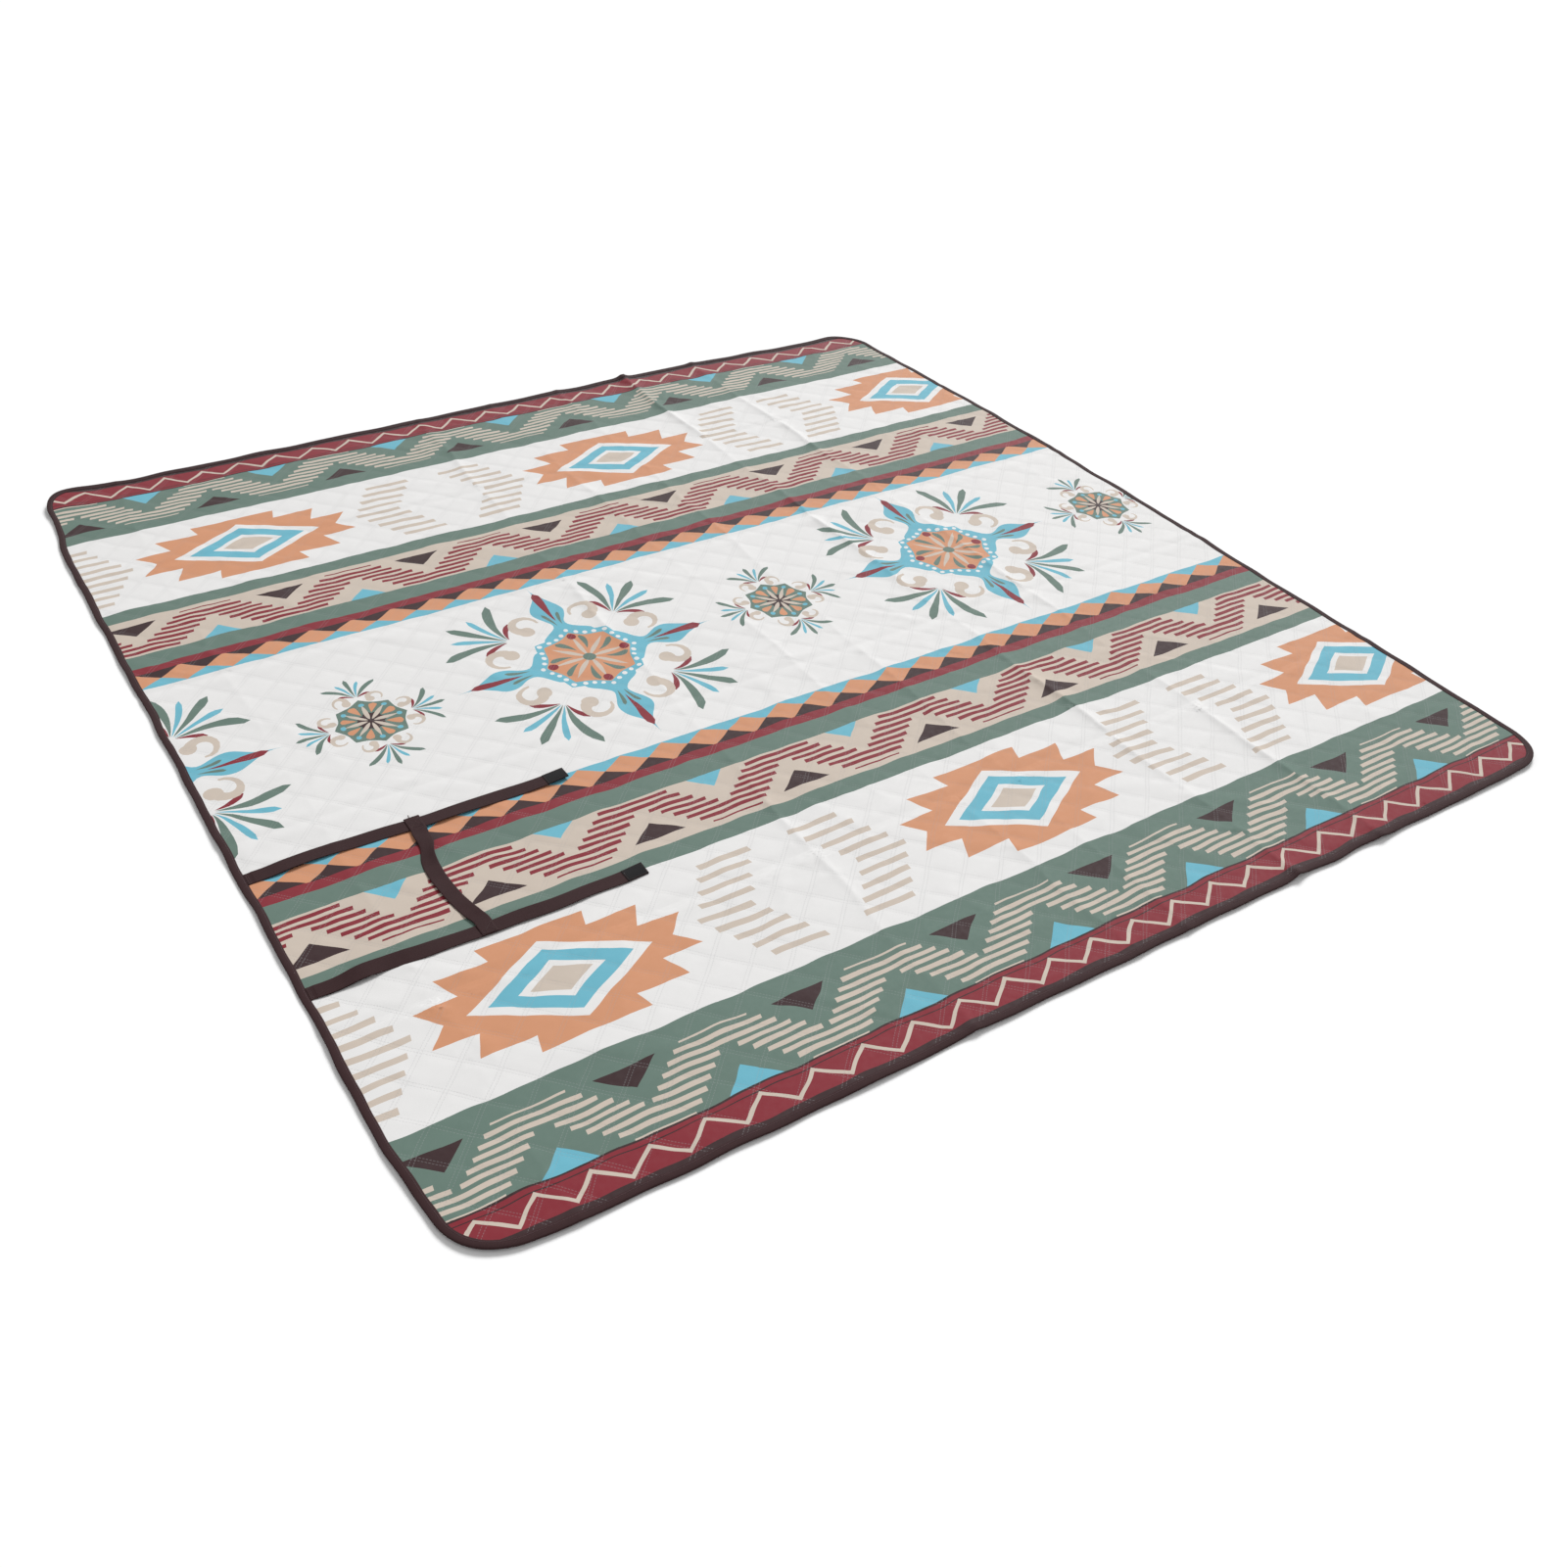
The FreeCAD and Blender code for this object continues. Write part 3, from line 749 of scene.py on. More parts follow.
def small_rosette(x, y):
    """The same kind of flower at a smaller size, with four sprays and an orange ring of petals."""
    hub = 58 * MM
    for angle in round_angles(4):
        spray(*turned([(68 * MM, 0)], angle, x, y)[0], angle, 58 * MM)
    stamp("green", ring_of_points(hub * 1.08, 64, 8, 0.14), 0, x, y)
    for angle in round_angles(8):
        stamp("orange", petal(27 * MM, 17 * MM, start=24 * MM), angle + math.pi / 8, x, y)
        centre = turned([(hub * 0.84, 0)], angle, x, y)[0]
        stamp("turquoise", ring_of_points(4.8 * MM, 10), 0, *centre)
    stamp("brown", ring_of_points(31 * MM, 32, 8, 0.3), 0, x, y)
    for angle in round_angles(8):
        stamp("beige", petal(42 * MM, 8 * MM, start=5 * MM, pointed=True), angle, x, y)
    stamp("brown", ring_of_points(6 * MM, 10), 0, x, y)


def paint_bands(side):
    """The stripes of one half of the blanket. What is painted later lies on top."""
    sawtooth_row(side)
    band(side, *THIN_RED, "red")
    band(side, *THIN_GREEN, "green")
    inner, outer = INNER_ZIGZAG
    band(side, inner, outer, "beige")
    row_of_triangles(side, "turquoise", TURQUOISE_START, inner, inner + 31 * MM, 66 * MM)
    hatched_zigzag(side, "red", BROWN_START, 375 * MM, 8, -18 * MM, 80 * MM, 7.5 * MM, (7,))
    row_of_triangles(side, "brown", BROWN_START, outer - 20 * MM, outer - 56 * MM, 88 * MM)
    band(side, *MIDDLE_GREEN, "green")
    inner, outer = OUTER_ZIGZAG
    band(side, inner, outer, "green")
    row_of_triangles(side, "brown", BROWN_START, inner + 37 * MM, inner + 74 * MM, 88 * MM)
    hatched_zigzag(side, "beige", TURQUOISE_START, 822 * MM, 9, -32 * MM, 85 * MM, 7.4 * MM, (0, 8))
    row_of_triangles(side, "turquoise", TURQUOISE_START, outer, outer - 39 * MM, 84 * MM)
    band(side, *EDGE_RED, "red")
    band(side, *WIDE_LINE, "brown")
    band(side, *FINE_LINE, "brown")
    edge_zigzag(side)
    band(side, EDGE_BROWN_INNER, BEYOND, "brown")


def paint_everything():
    for side in (-1, 1):
        paint_bands(side)
        for x in places(SUNBURST_START, SUNBURST_REPEAT, 0.2):
            sunburst(x, side * SUNBURST_Y)
            bar_brackets(x + SUNBURST_REPEAT / 2, side * SUNBURST_Y)
    for x in places(ROSETTE_START, ROSETTE_REPEAT, 0.25):
        large_rosette(x, ROSETTE_Y)
        small_rosette(x + SMALL_ROSETTE_OFFSET, ROSETTE_Y)


# Materials ------------------------------------------------------------------------------------


class Nodes:
    """A short way to write a material's node tree."""

    def __init__(self, name, roughness, sheen):
        self.material = bpy.data.materials.new(name)
        self.material.use_nodes = True
        self.tree = self.material.node_tree
        self.shader = self.tree.nodes["Principled BSDF"]
        self.shader.inputs["Roughness"].default_value = roughness
        self.shader.inputs["Sheen Weight"].default_value = sheen
        self.shader.inputs["Sheen Roughness"].default_value = 0.5
        self.shader.inputs["Specular IOR Level"].default_value = 0.25

    def add(self, kind, **settings):
        made = self.tree.nodes.new(kind)
        for key, value in settings.items():
            setattr(made, key, value)
        return made

    def put(self, socket, value):
        if isinstance(value, bpy.types.NodeSocket):
            self.tree.links.new(value, socket)
        else:
            socket.default_value = value

    def math(self, operation, first, second=0.0, third=0.0):
        made = self.add("ShaderNodeMath", operation=operation)
        for socket, value in zip(made.inputs, (first, second, third)):
            self.put(socket, value)
        return made.outputs[0]

    def flat_place(self):
        """Where a point of the cloth was before it was spread, in metres along X and along Y."""
        uv = self.add("ShaderNodeUVMap", uv_map="flat")
        parts = self.add("ShaderNodeSeparateXYZ")
        self.put(parts.inputs[0], uv.outputs[0])
        return uv.outputs[0], parts.outputs[0], parts.outputs[1]

    def noise(self, place, size, detail=2.0):
        made = self.add("ShaderNodeTexNoise")
        made.inputs["Scale"].default_value = 1 / size
        made.inputs["Detail"].default_value = detail
        self.put(made.inputs["Vector"], place)
        return made.outputs["Fac"]

    def wave(self, along, length):
        """A sine along one direction, from 0 to 1."""
        sine = self.math("SINE", self.math("MULTIPLY", along, math.tau / length))
        return self.math("MULTIPLY_ADD", sine, 0.5, 0.5)

    def mix(self, factor, first, second):
        made = self.add("ShaderNodeMix", data_type="RGBA")
        self.put(made.inputs[0], factor)
        self.put(made.inputs[6], first)
        self.put(made.inputs[7], second)
        return made.outputs[2]

    def finish(self, colour, height, distance, strength=0.6, roughness=None):
        self.put(self.shader.inputs["Base Color"], colour)
        bump = self.add("ShaderNodeBump")
        bump.inputs["Strength"].default_value = strength
        bump.inputs["Distance"].default_value = distance
        self.put(bump.inputs["Height"], height)
        self.put(self.shader.inputs["Normal"], bump.outputs[0])
        if roughness is not None:
            self.put(self.shader.inputs["Roughness"], roughness)
        return self.material


def shade(colour, factor):
    return tuple(min(1.0, c * factor) for c in colour[:3]) + (1,)


def woven(nodes, x, y, pitch):
    """Plain weave: threads that cross and pass over each other."""
    warp, weft = nodes.wave(x, pitch), nodes.wave(y, pitch)
    over = nodes.math("MULTIPLY", warp, weft)
    under = nodes.math("MULTIPLY", nodes.math("SUBTRACT", 1.0, warp), nodes.math("SUBTRACT", 1.0, weft))
    return nodes.math("MAXIMUM", over, under)


def quilt_stitches(nodes, x, y):
    """1 on the stitches of the diagonal double rows, and 0 between them."""
    half_width, stitch, gap_share = 0.55 * MM, 4.2 * MM, 0.28
    found = None
    total = nodes.math("MULTIPLY", nodes.math("ADD", x, y), 0.5 ** 0.5)
    difference = nodes.math("MULTIPLY", nodes.math("SUBTRACT", x, y), 0.5 ** 0.5)
    for across, along in ((total, difference), (difference, total)):
        turns = nodes.math("ADD", nodes.math("DIVIDE", across, QUILT_PITCH), 0.5)
        off_middle = nodes.math("SUBTRACT", nodes.math("FLOORED_MODULO", turns, 1.0), 0.5)
        off_channel = nodes.math("MULTIPLY", nodes.math("ABSOLUTE", off_middle), QUILT_PITCH)
        off_line = nodes.math("ABSOLUTE", nodes.math("SUBTRACT", off_channel, QUILT_CHANNEL))
        on_line = nodes.math("LESS_THAN", off_line, half_width)
        dash = nodes.math("GREATER_THAN", nodes.wave(along, stitch), gap_share)
        mask = nodes.math("MULTIPLY", on_line, dash)
        found = mask if found is None else nodes.math("MAXIMUM", found, mask)
    return found


def printed_cloth(ink):
    """Printed plain-woven polyester, with the quilting's stitches sunk into it."""
    colour = linear(INKS[ink])
    nodes = Nodes(f"cloth_{ink}", roughness=0.74, sheen=0.04)
    place, x, y = nodes.flat_place()
    weave = woven(nodes, x, y, 1.1 * MM)
    mottle = nodes.noise(place, 30 * MM, 3)
    toned = nodes.mix(mottle, shade(colour, 0.955), shade(colour, 1.04))
    # Painted shade: the ink is darker where the weave's bump is low, between the threads.
    threads = nodes.mix(weave, shade(colour, 0.93), toned)
    stitches = quilt_stitches(nodes, x, y)
    thread_colour = linear("#a8a8aa")
    sewn = nodes.mix(nodes.math("MULTIPLY", stitches, 0.22), threads, thread_colour)
    height = nodes.math("SUBTRACT", nodes.math("MULTIPLY", weave, 0.25), stitches)
    wear = nodes.noise(place, 9 * MM)
    roughness = nodes.math("MULTIPLY_ADD", wear, 0.16, 0.64)
    return nodes.finish(sewn, height, 0.35 * MM, 0.55, roughness)


def coated_backing():
    """Dark cloth with a waterproof coating: fine weave under a faint gloss, and the quilting shows."""
    colour = linear("#2c2527")
    nodes = Nodes("backing_coated", roughness=0.45, sheen=0.0)
    place, x, y = nodes.flat_place()
    weave = woven(nodes, x, y, 1.4 * MM)
    stitches = quilt_stitches(nodes, x, y)
    toned = nodes.mix(nodes.noise(place, 60 * MM, 4), shade(colour, 0.8), shade(colour, 1.25))
    sewn = nodes.mix(nodes.math("MULTIPLY", stitches, 0.5), toned, linear("#4a3c40"))
    height = nodes.math("SUBTRACT", nodes.math("MULTIPLY", weave, 0.3), stitches)
    roughness = nodes.math("MULTIPLY_ADD", nodes.noise(place, 14 * MM), 0.25, 0.33)
    return nodes.finish(sewn, height, 0.35 * MM, 0.6, roughness)


def polyester_wadding():
    colour = linear("#eceae4")
    nodes = Nodes("wadding_fibre", roughness=0.95, sheen=0.2)
    place, _, _ = nodes.flat_place()
    fibres = nodes.noise(place, 2 * MM, 5)
    # The fibres' tone varies at random, and as it follows the bump it is also painted shade, darker in the
    # hollows.
    toned = nodes.mix(fibres, shade(colour, 0.85), colour)
    return nodes.finish(toned, fibres, 0.5 * MM, 0.7)


def ribbed_tape(name, colour, pitch):
    """Woven tape or webbing: flat ribs across it and a fine twill within them."""
    nodes = Nodes(name, roughness=0.8, sheen=0.02)
    place, along, across = nodes.flat_place()
    rib = nodes.wave(along, pitch)
    twill = nodes.wave(nodes.math("ADD", along, across), pitch * 0.6)
    height = nodes.math("ADD", rib, nodes.math("MULTIPLY", twill, 0.4))
    dust = nodes.noise(place, 12 * MM, 3)
    toned = nodes.mix(dust, shade(colour, 0.78), shade(colour, 1.3))
    # Painted shade: the colour is darker where the ribs and twill are low, in the grooves.
    threads = nodes.mix(nodes.math("MULTIPLY", height, 0.6), shade(colour, 0.72), toned)
    return nodes.finish(threads, height, 0.25 * MM, 0.6)


def touch_tape(name, colour, size):
    """Hook or loop tape: a dense field of tiny stiff points."""
    nodes = Nodes(name, roughness=0.9, sheen=0.05)
    place, x, y = nodes.flat_place()
    rows = nodes.math("MULTIPLY", nodes.wave(x, size), nodes.wave(y, size))
    height = nodes.math("ADD", rows, nodes.math("MULTIPLY", nodes.noise(place, size), 0.6))
    # Painted highlight and shade: the points' tops are much lighter and the gaps between them much darker,
    # following the bump.
    toned = nodes.mix(rows, shade(colour, 0.5), shade(colour, 1.9))
    return nodes.finish(toned, height, 0.5 * MM, 0.9)


def sewing_thread(name, colour):
    """Twisted sewing thread."""
    nodes = Nodes(name, roughness=0.6, sheen=0.1)
    _, x, y = nodes.flat_place()
    twist = nodes.wave(nodes.math("ADD", x, nodes.math("MULTIPLY", y, 1.7)), 0.6 * MM)
    # Painted highlight and shade: the twist's crests are lighter and its grooves darker, following the bump.
    return nodes.finish(nodes.mix(twist, shade(colour, 0.7), shade(colour, 1.25)), twist, 0.1 * MM, 0.5)


# Making meshes --------------------------------------------------------------------------------


def sharpen(mesh, face_numbers):
    """Every edge of these faces is shaded as a sharp one."""
    edges = {tuple(sorted(edge.vertices)): edge.index for edge in mesh.edges}
    sharp = np.zeros(len(mesh.edges), bool)
    for number in face_numbers:
        for key in mesh.polygons[number].edge_keys:
            sharp[edges[tuple(sorted(key))]] = True
    mesh.attributes.new("sharp_edge", "BOOLEAN", "EDGE").data.foreach_set("value", sharp)


def make_piece(name, points, faces, flat, materials, inks=None, sharp_faces=()):
    """A mesh object. flat is where each point lies in the uncut cloth, and is kept as its UV map."""
    mesh = bpy.data.meshes.new(name)
    mesh.from_pydata([tuple(p) for p in points], [], faces)
    for material in materials:
        mesh.materials.append(material)
    if inks is not None:
        mesh.polygons.foreach_set("material_index", inks)
    mesh.polygons.foreach_set("use_smooth", [True] * len(mesh.polygons))
    if sharp_faces:
        sharpen(mesh, sharp_faces)
    uv = mesh.uv_layers.new(name="flat")
    corners = np.zeros(len(mesh.loops), int)
    mesh.loops.foreach_get("vertex_index", corners)
    uv.data.foreach_set("uv", np.asarray(flat, float)[corners].ravel())
    mesh.update()
    mesh.validate()
    piece = bpy.data.objects.new(name, mesh)
    bpy.context.scene.collection.objects.link(piece)
    return piece


def rim_edges(faces):
    """The directed edges that only one triangle has."""
    seen = set()
    for a, b, c in faces:
        seen.update(((a, b), (b, c), (c, a)))
    return [(a, b) for a, b in seen if (b, a) not in seen]


def in_order(edges):
    following = dict(edges)
    start = edges[0][0]
    loop = [start]
    while following[loop[-1]] != start:
        loop.append(following[loop[-1]])
    return loop


def level_slivers(points, faces, heights, narrowest=1.2 * MM):
    """Lay the middle corner of every very narrow triangle onto its long side, so that none tips up."""
    corners = np.array(faces)
    for _ in range(3):
        for turn in range(3):
            a, b, c = np.roll(corners, turn, axis=1).T
            base = points[b] - points[a]
            length = np.maximum(np.linalg.norm(base, axis=1), 1e-9)
            offset = points[c] - points[a]
            share = (offset * base).sum(axis=1) / length ** 2
            off_line = np.abs(base[:, 0] * offset[:, 1] - base[:, 1] * offset[:, 0]) / length
            narrow = (off_line < narrowest) & (share > 0.02) & (share < 0.98)
            a, b, c, share = a[narrow], b[narrow], c[narrow], share[narrow]
            heights[c] = heights[a] + (heights[b] - heights[a]) * share
    return heights


SMALLEST_AREA = 1e-12


def level_steep_faces(points, faces, heights, steepest=0.9):
    """Lay every small triangle flat that would stand steeper than the cloth does anywhere."""
    corners = np.array(faces)
    a, b, c = (points[corners[:, number]] for number in range(3))
    first, second = b - a, c - a
    area = first[:, 0] * second[:, 1] - first[:, 1] * second[:, 0]
    area = np.where(np.abs(area) < SMALLEST_AREA, SMALLEST_AREA, area)
    for _ in range(4):
        start, first_end, second_end = heights[corners].T
        first_climb, second_climb = first_end - start, second_end - start
        slope_x = (first_climb * second[:, 1] - second_climb * first[:, 1]) / area
        slope_y = (second_climb * first[:, 0] - first_climb * second[:, 0]) / area
        steep = corners[np.hypot(slope_x, slope_y) > steepest]
        heights[steep] = heights[steep].mean(axis=1)[:, None]
    return heights


def shell(name, top, top_faces, top_height, loose, bottom_height, materials, inks=None):
    """A closed slab of cloth: a top, a bottom with the same outline and fewer points, and a rim."""
    loop = in_order(rim_edges(top_faces))
    outline = [tuple(top[i]) for i in loop]
    low, low_faces, _ = triangles(outline, loose)
    matches = {(round(x, 6), round(y, 6)): i for i, (x, y) in enumerate(low)}
    below = [matches[round(x, 6), round(y, 6)] for x, y in outline]
    count = len(top)
    faces = list(top_faces) + [(c + count, b + count, a + count) for a, b, c in low_faces]
    rim = range(len(faces), len(faces) + len(loop))
    for i, a in enumerate(loop):
        b = loop[(i + 1) % len(loop)]
        faces.append((b, a, below[i] + count, below[(i + 1) % len(loop)] + count))
    x, y = np.concatenate([top[:, 0], low[:, 0]]), np.concatenate([top[:, 1], low[:, 1]])
    upper = level_slivers(top, top_faces, top_height(*top.T))
    upper = level_steep_faces(top, top_faces, upper)
    heights = np.concatenate([upper, bottom_height(*low.T)])
    spread_x, spread_y = spread(x, y)
    points = np.stack([spread_x, spread_y, heights], axis=1)
    if inks is not None:
        inks = list(inks) + [0] * (len(faces) - len(top_faces))
    return make_piece(name, points, faces, np.stack([x, y], axis=1), materials, inks, rim)


BODY_OF_PANEL = {name: f"{name}_panel" for name in PANELS}


def join_to_panel(piece, panel, slot, *nodes):
    """A carry-panel piece rides on that panel's body; any other piece is left where it lies. The panel's CAD
    nodes are hidden.
    """
    if panel == "carry":
        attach(piece, BODY_OF_PANEL[panel])
    else:
        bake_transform(piece)
    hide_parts(*nodes)


# The layers -----------------------------------------------------------------------------------


def cloth_height(x, y):
    return CLOTH_TOP + relief(x, y) + quilting(x, y) + wrinkles(x, y)


def build_top_sheet(panel, materials):
    loose = inside_panel(quilt_points(panel) + ridge_points(panel) + fold_rows(panel), panel, 2.5 * MM)
    loose += edge_rings(panel, (TAPE_WIDTH, TAPE_WIDTH + 4 * MM, TAPE_WIDTH + 8 * MM))
    low, high = PANEL_SPAN[panel]
    near = []
    for colour, shape in print_shapes:
        heights = [y for _, y in shape]
        if max(heights) > low and min(heights) < high:
            near.append((colour, shape))
    outline = panel_outline(panel, EDGE_INSET)
    points, faces, owners = triangles(outline, loose, [shape for _, shape in near])
    inks = [INK_NAMES.index(near[owner][0]) if owner >= 0 else 0 for owner in owners]

    def underside(x, y):
        return WADDING_TOP + relief(x, y) + np.minimum(quilting(x, y), 0)

    name = f"top_sheet_{panel}_cloth"
    piece = shell(name, points, faces, cloth_height, hidden_points(panel), underside, materials, inks)
    join_to_panel(piece, panel, "printed_cloth", f"top_sheet_{panel}")


def plain_slab(name, panel, inset, top_height, bottom_height, material, rings=()):
    loose = hidden_points(panel) + edge_rings(panel, rings)
    outline = panel_outline(panel, inset)
    points, faces, _ = triangles(outline, loose)
    return shell(name, points, faces, top_height, loose, bottom_height, [material])


def build_wadding(panel, material):
    gap = 0.4 * MM

    def top(x, y):
        return WADDING_TOP - gap + relief(x, y) + np.minimum(quilting(x, y), 0) * 0.9

    def bottom(x, y):
        return BACKING_TOP + 0.05 * MM + relief(x, y)

    piece = plain_slab(f"wadding_{panel}_fill", panel, 2 * MM, top, bottom, material)
    join_to_panel(piece, panel, "wadding", f"wadding_{panel}")


def build_backing(panel, material):
    step = TAPE_WIDTH + 0.5 * MM

    def top(x, y):
        return BACKING_TOP + relief(x, y)

    def bottom(x, y):
        return TAPE_THICK * (edge_distance(x, y) < step + 0.2 * MM) + relief(x, y)

    name = f"backing_{panel}_cloth"
    piece = plain_slab(name, panel, EDGE_INSET, top, bottom, material, (step, step + 1 * MM))
    join_to_panel(piece, panel, "backing", f"backing_{panel}")


# The binding ----------------------------------------------------------------------------------


def binding_runs(panel):
    """The pieces of tape round one panel: a node's name and the line of its outer edge."""
    left, right = side_lines(panel)
    runs = [(f"binding_left_{panel}", left), (f"binding_right_{panel}", right)]
    straight = HALF - CORNER_RADIUS
    if panel == "near":
        runs.append(("binding_near_edge", [(-straight, -HALF), (straight, -HALF)]))
    if panel == "far":
        runs.append(("binding_far_edge", [(straight, HALF), (-straight, HALF)]))
    return runs


def inward_normals(line):
    """Unit vectors that point into the blanket, square to a counterclockwise line."""
    line = np.array(line)
    tangent = np.gradient(line, axis=0)
    tangent /= np.linalg.norm(tangent, axis=1)[:, None]
    return np.stack([-tangent[:, 1], tangent[:, 0]], axis=1)


def snapped_ends(line, normals):
    """At its two ends a run of tape is cut square to the blanket's sides."""
    for end in (0, -1):
        square = np.round(normals[end] * 2 ** 0.5)
        normals[end] = square / max(1, abs(square).sum())
    return normals


TAPE_PROFILE = (
    (1.0, 0.02), (0.55, 0.0), (0.12, 0.0), (0.035, 0.14), (0.0, 0.5), (0.035, 0.86), (0.12, 1.0),
    (0.55, 1.012), (0.965, 1.0), (1.0, 0.95), (1.0, 0.885), (0.5, 0.88), (0.12, 0.87), (0.085, 0.5),
    (0.12, 0.13), (0.5, 0.125), (1.0, 0.128),
)
# The tape wavers past this share of its width, and puckers above this share of its height.
WAVERS_PAST = 0.9
PUCKERS_ABOVE = 0.9
TAPE_WAVER = 0.6 * MM
TAPE_PUCKER = 0.12 * MM


def build_binding(panel, material):
    """Tape folded round the edge. Its section is a C, given as shares of its width and height."""
    for node, outline in binding_runs(panel):
        line = np.array(fine(outline, closed=False, step=EDGE_STEP))
        normals = snapped_ends(line, inward_normals(line))
        travelled = np.concatenate([[0], np.cumsum(np.linalg.norm(np.diff(line, axis=0), axis=1))])
        ease = smooth(travelled, 0, 0.03) * smooth(travelled[-1] - travelled, 0, 0.03)
        waver = TAPE_WAVER * waves(line[:, 0], line[:, 1], 31, 0.09, 0.03, 5) * ease
        points, flat = [], []
        for share, level in TAPE_PROFILE:
            inward = share * TAPE_WIDTH + waver * (share > WAVERS_PAST)
            place_x, place_y = (line + normals * inward[:, None]).T
            pucker = TAPE_PUCKER * waves(place_x, place_y, 32, 0.03, 0.012, 5) * (level > PUCKERS_ABOVE)
            x, y = spread(place_x, place_y)
            z = relief(place_x, place_y) + level * EDGE_THICK + pucker
            points.append(np.stack([x, y, z], axis=1))
            flat.append(np.stack([travelled, np.full_like(travelled, (share + level) * TAPE_WIDTH)], axis=1))
        piece = swept(f"{node}_tape", np.array(points), np.array(flat), material)
        join_to_panel(piece, panel, "binding_tape", node)


def swept(name, points, flat, material):
    """A closed section carried along a line. points[i][j] is corner i of the section at step j."""
    sides, steps = points.shape[:2]
    faces = []
    for i in range(sides):
        following = (i + 1) % sides
        for j in range(steps - 1):
            faces.append((i * steps + j, following * steps + j, following * steps + j + 1, i * steps + j + 1))
    faces.append([i * steps for i in range(sides)][::-1])
    faces.append([i * steps + steps - 1 for i in range(sides)])
    ends = (len(faces) - 2, len(faces) - 1)
    return make_piece(name, points.reshape(-1, 3), faces, flat.reshape(-1, 2), [material], None, ends)


# Stitches -------------------------------------------------------------------------------------

STITCH_LENGTH = 3.3 * MM
STITCH_PITCH = 4.1 * MM
HARNESS_STITCH_PITCH = 2.6 * MM
THREAD = 0.75 * MM
UP = Vector((0, 0, 1))


class Stitches:
    """Gathers many small stitches into one mesh."""

    def __init__(self):
        self.points, self.faces, self.flat = [], [], []

    def add(self, start, end, width=THREAD, tall=0.28 * MM):
        """One stitch, with pointed ends and a low ridge along it."""
        along = (end - start).normalized()
        across = UP.cross(along).normalized()
        first = len(self.points)
        half = across * width / 2
        tip = along * width * 0.5
        middle = (start + end) / 2
        self.points += [start - tip, start - half, end - half, end + tip, end + half, start + half]
        self.points += [start + UP * tall * 0.8, middle + UP * tall, end + UP * tall * 0.8]
        rows = [(0, 1, 6), (1, 2, 8, 7, 6), (2, 3, 8), (3, 4, 8), (4, 5, 6, 7, 8), (5, 0, 6)]
        rows.append((5, 4, 3, 2, 1, 0))
        self.faces += [tuple(first + i for i in row) for row in rows]
        self.flat += [(p.x, p.y) for p in self.points[first:]]

    def row(self, line, surface):
        """Stitches along a flat line, laid on a surface that is given as a function."""
        line = np.array(fine(line, closed=False, step=STITCH_PITCH))
        ends = line[:-1] + (line[1:] - line[:-1]) * STITCH_LENGTH / STITCH_PITCH
        for start, stop in zip(surface(*line[:-1].T), surface(*ends.T)):
            self.add(Vector(start), Vector(stop))

    def piece(self, name, material):
        return make_piece(name, self.points, self.faces, self.flat, [material])


TOP_OF_TAPE = 1.006


def on_binding(x, y):
    spread_x, spread_y = spread(x, y)
    height = relief(x, y) + EDGE_THICK * TOP_OF_TAPE
    return np.stack([spread_x, spread_y, height], axis=1)


def build_binding_seam(panel, material):
    stitches = Stitches()
    to_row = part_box("binding_seam_middle")[0].x + HALF + THREAD / 2
    for _, outline in binding_runs(panel):
        line = np.array(fine(outline, closed=False, step=STITCH_PITCH))
        row = line + snapped_ends(line, inward_normals(line)) * to_row
        stitches.row([tuple(p) for p in row], on_binding)
    piece = stitches.piece(f"binding_seam_{panel}_stitches", material)
    join_to_panel(piece, panel, "thread", f"binding_seam_{panel}")


# The harness ----------------------------------------------------------------------------------

WEBBING_LOW, WEBBING_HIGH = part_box("strap_far")
WEBBING_WIDTH = (WEBBING_HIGH - WEBBING_LOW).y
WEBBING_THICK = (WEBBING_HIGH - WEBBING_LOW).z
WEBBING_LEVEL = (WEBBING_HIGH.z + WEBBING_LOW.z) / 2
FOOT_LOW, FOOT_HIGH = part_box("strap_foot_far")
FOOT_LEVEL = (FOOT_LOW.z + FOOT_HIGH.z) / 2
FLIP_X = JOINTS["harness_flip"]["pos_m"][0]
TAIL_X = JOINTS["tail_far_fold"]["pos_m"][0]
TIP_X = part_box("strap_tail_far")[1].x
HANDLE_LOW, HANDLE_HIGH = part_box("handle_end_far")
HANDLE_X = (HANDLE_LOW.x + HANDLE_HIGH.x) / 2
STRAP_Y = {}
for strap_name in ("far", "near"):
    strap_low, strap_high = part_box(f"strap_{strap_name}")
    STRAP_Y[strap_name] = (strap_low.y + strap_high.y) / 2


# How each strap wanders sideways, and then upward: height, radians per metre, phase.
STRAP_WAVES = {
    "far": (2.6 * MM, 15.5, 0, 0.9 * MM, 26, 0),
    "near": (2.2 * MM, 13, 0.4, 0.7 * MM, 19, 2),
}
FAR_TAIL_TURN = 4 * MM
FAR_TIP_RISE = 1.6 * MM
FAR_TIP_LENGTH = 0.09
NEAR_HUMP = 3.2 * MM
NEAR_HUMP_PLACE = 0.064
NEAR_HUMP_REACH = 0.024
# The near strap before its handle leans by this much, and stands this much off the cloth.
NEAR_LEAN = 1.1 * MM
NEAR_RISE = 0.9 * MM
STRAP_LEAN = 0.6 * MM


